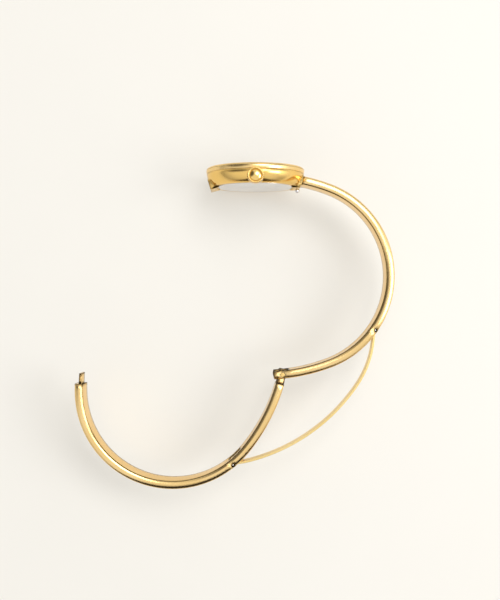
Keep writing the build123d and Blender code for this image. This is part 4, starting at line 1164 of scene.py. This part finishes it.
@dataclass(frozen=True)
class Studio:
    """Plain pale floor, soft lamps, a sky that darkens low down, and the camera."""

    floor_height: float = -12.2
    floor_half: float = 6000.0
    floor_glow: float = 0.29
    floor_glow_tint: Triple = (1.0, 0.975, 0.915)
    sky: float = 1.1
    sky_tint: Triple = (1.0, 0.985, 0.955)
    sky_tones: tuple[tuple[float, float], ...] = (
        (0.0, 0.42), (0.15, 0.46), (0.35, 0.72), (0.65, 0.88), (1.0, 0.92))
    backdrop: Triple = (0.68, 0.665, 0.62)
    flags: tuple[Flag, ...] = (
        Flag(towards=(-0.62, 0.30, 0.68), full_angle=14.0, clear_angle=34.0, tone=0.16),
        Flag(towards=(0.98, 0.0, 0.12), full_angle=10.0, clear_angle=40.0, tone=2.2),
    )
    card: Card = Card("front_card", left=-100.0, right=110.0, slant=70.0, place=-128.0,
                      foot=-12.0, top=92.0)
    lamp_target: Triple = (0.0, -0.03, 0.0)
    boxes: tuple[Softbox, ...] = (
        Softbox("key_softbox", place=(0.17, 0.20, 0.56), side=0.32, power=1.4,
                tint=(1.0, 0.98, 0.96)),
        Softbox("right_softbox", place=(0.38, -0.05, 0.36), side=0.26, power=0.95),
    )
    eye: Triple = (-1.3, -27.75, 231.25)
    lens: float = 56.1
    sensor: float = 36.0
    nearest: float = 0.01
    farthest: float = 20.0

    def lay_floor(self) -> None:
        """Lay the lit floor card."""
        half, height = self.floor_half, self.floor_height
        corners = np.array([(-half, -half, height), (half, -half, height),
                            (half, half, height), (-half, half, height)])
        ground = put_mesh("studio_floor", corners, [(0, 1, 2, 3)])
        paper = PAPER.make()
        shader = paper.node_tree.nodes["Principled BSDF"]
        shader.inputs["Emission Color"].default_value = (*self.floor_glow_tint, 1.0)
        shader.inputs["Emission Strength"].default_value = self.floor_glow
        ground.data.materials.append(paper)
        log.info("laid studio_floor")

    def graded_sky(self, tree: bpy.types.NodeTree,
                   direction: bpy.types.NodeSocket) -> bpy.types.NodeSocket:
        """Grade the sky from low to high and lay the flags over it.

        Args:
            tree: The sky's node tree.
            direction: The direction looked in.

        Returns:
            The colour socket.
        """
        split = tree.nodes.new("ShaderNodeSeparateXYZ")
        ramp = tree.nodes.new("ShaderNodeValToRGB")
        stops = ramp.color_ramp.elements
        for place, _ in self.sky_tones[1:-1]:
            stops.new(place)
        for stop, (place, tone) in zip(stops, self.sky_tones):
            stop.position = place
            stop.color = (*(tone * part for part in self.sky_tint), 1.0)
        tree.links.new(direction, split.inputs["Vector"])
        tree.links.new(split.outputs["Z"], ramp.inputs["Fac"])
        colour = ramp.outputs["Color"]
        for flag in self.flags:
            shade = tree.nodes.new("ShaderNodeVectorMath")
            shade.operation = "SCALE"
            tree.links.new(colour, shade.inputs[0])
            tree.links.new(flag.share(tree, direction), shade.inputs["Scale"])
            colour = shade.outputs["Vector"]
        return colour

    def hang_sky(self) -> None:
        """Set the sky for lighting and reflections, and the plain backdrop for the camera."""
        world = bpy.data.worlds.new("studio_sky")
        bpy.context.scene.world = world
        world.use_nodes = True
        tree = world.node_tree
        where = tree.nodes.new("ShaderNodeTexCoord")
        path = tree.nodes.new("ShaderNodeLightPath")
        seen = tree.nodes.new("ShaderNodeMix")
        seen.data_type = "RGBA"
        seen.inputs["B"].default_value = (*self.backdrop, 1.0)
        glow = tree.nodes["Background"]
        glow.inputs["Strength"].default_value = self.sky
        tree.links.new(path.outputs["Is Camera Ray"], seen.inputs["Factor"])
        tree.links.new(self.graded_sky(tree, where.outputs["Generated"]), seen.inputs["A"])
        tree.links.new(seen.outputs["Result"], glow.inputs["Color"])
        log.info("hung studio_sky")

    def hang_camera(self) -> None:
        """Hang the camera over the watch, looking straight down."""
        view = bpy.data.cameras.new("overhead_camera")
        view.lens = self.lens
        view.sensor_width = self.sensor
        view.clip_start = self.nearest
        view.clip_end = self.farthest
        holder = bpy.data.objects.new("overhead_camera", view)
        holder.location = Vector(self.eye) * MM
        bpy.context.scene.collection.objects.link(holder)
        bpy.context.scene.camera = holder
        log.info("hung overhead_camera")

    def build(self) -> None:
        """Set the floor, the sky, the lamps, the card, the camera and a plain tone curve."""
        self.lay_floor()
        self.hang_sky()
        for box in self.boxes:
            box.make(Vector(self.lamp_target))
        self.card.make()
        self.hang_camera()
        bpy.context.scene.view_settings.view_transform = "Standard"


def main() -> None:
    """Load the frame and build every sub-assembly in order."""
    logging.basicConfig(level=logging.INFO)
    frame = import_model()
    wardrobe = Wardrobe()
    Studio().build()
    for assembly in (Bangle, Head, Winder, DialSide, Movement):
        assembly(frame["nodes"], wardrobe).build()


if __name__ == "__main__":
    main()
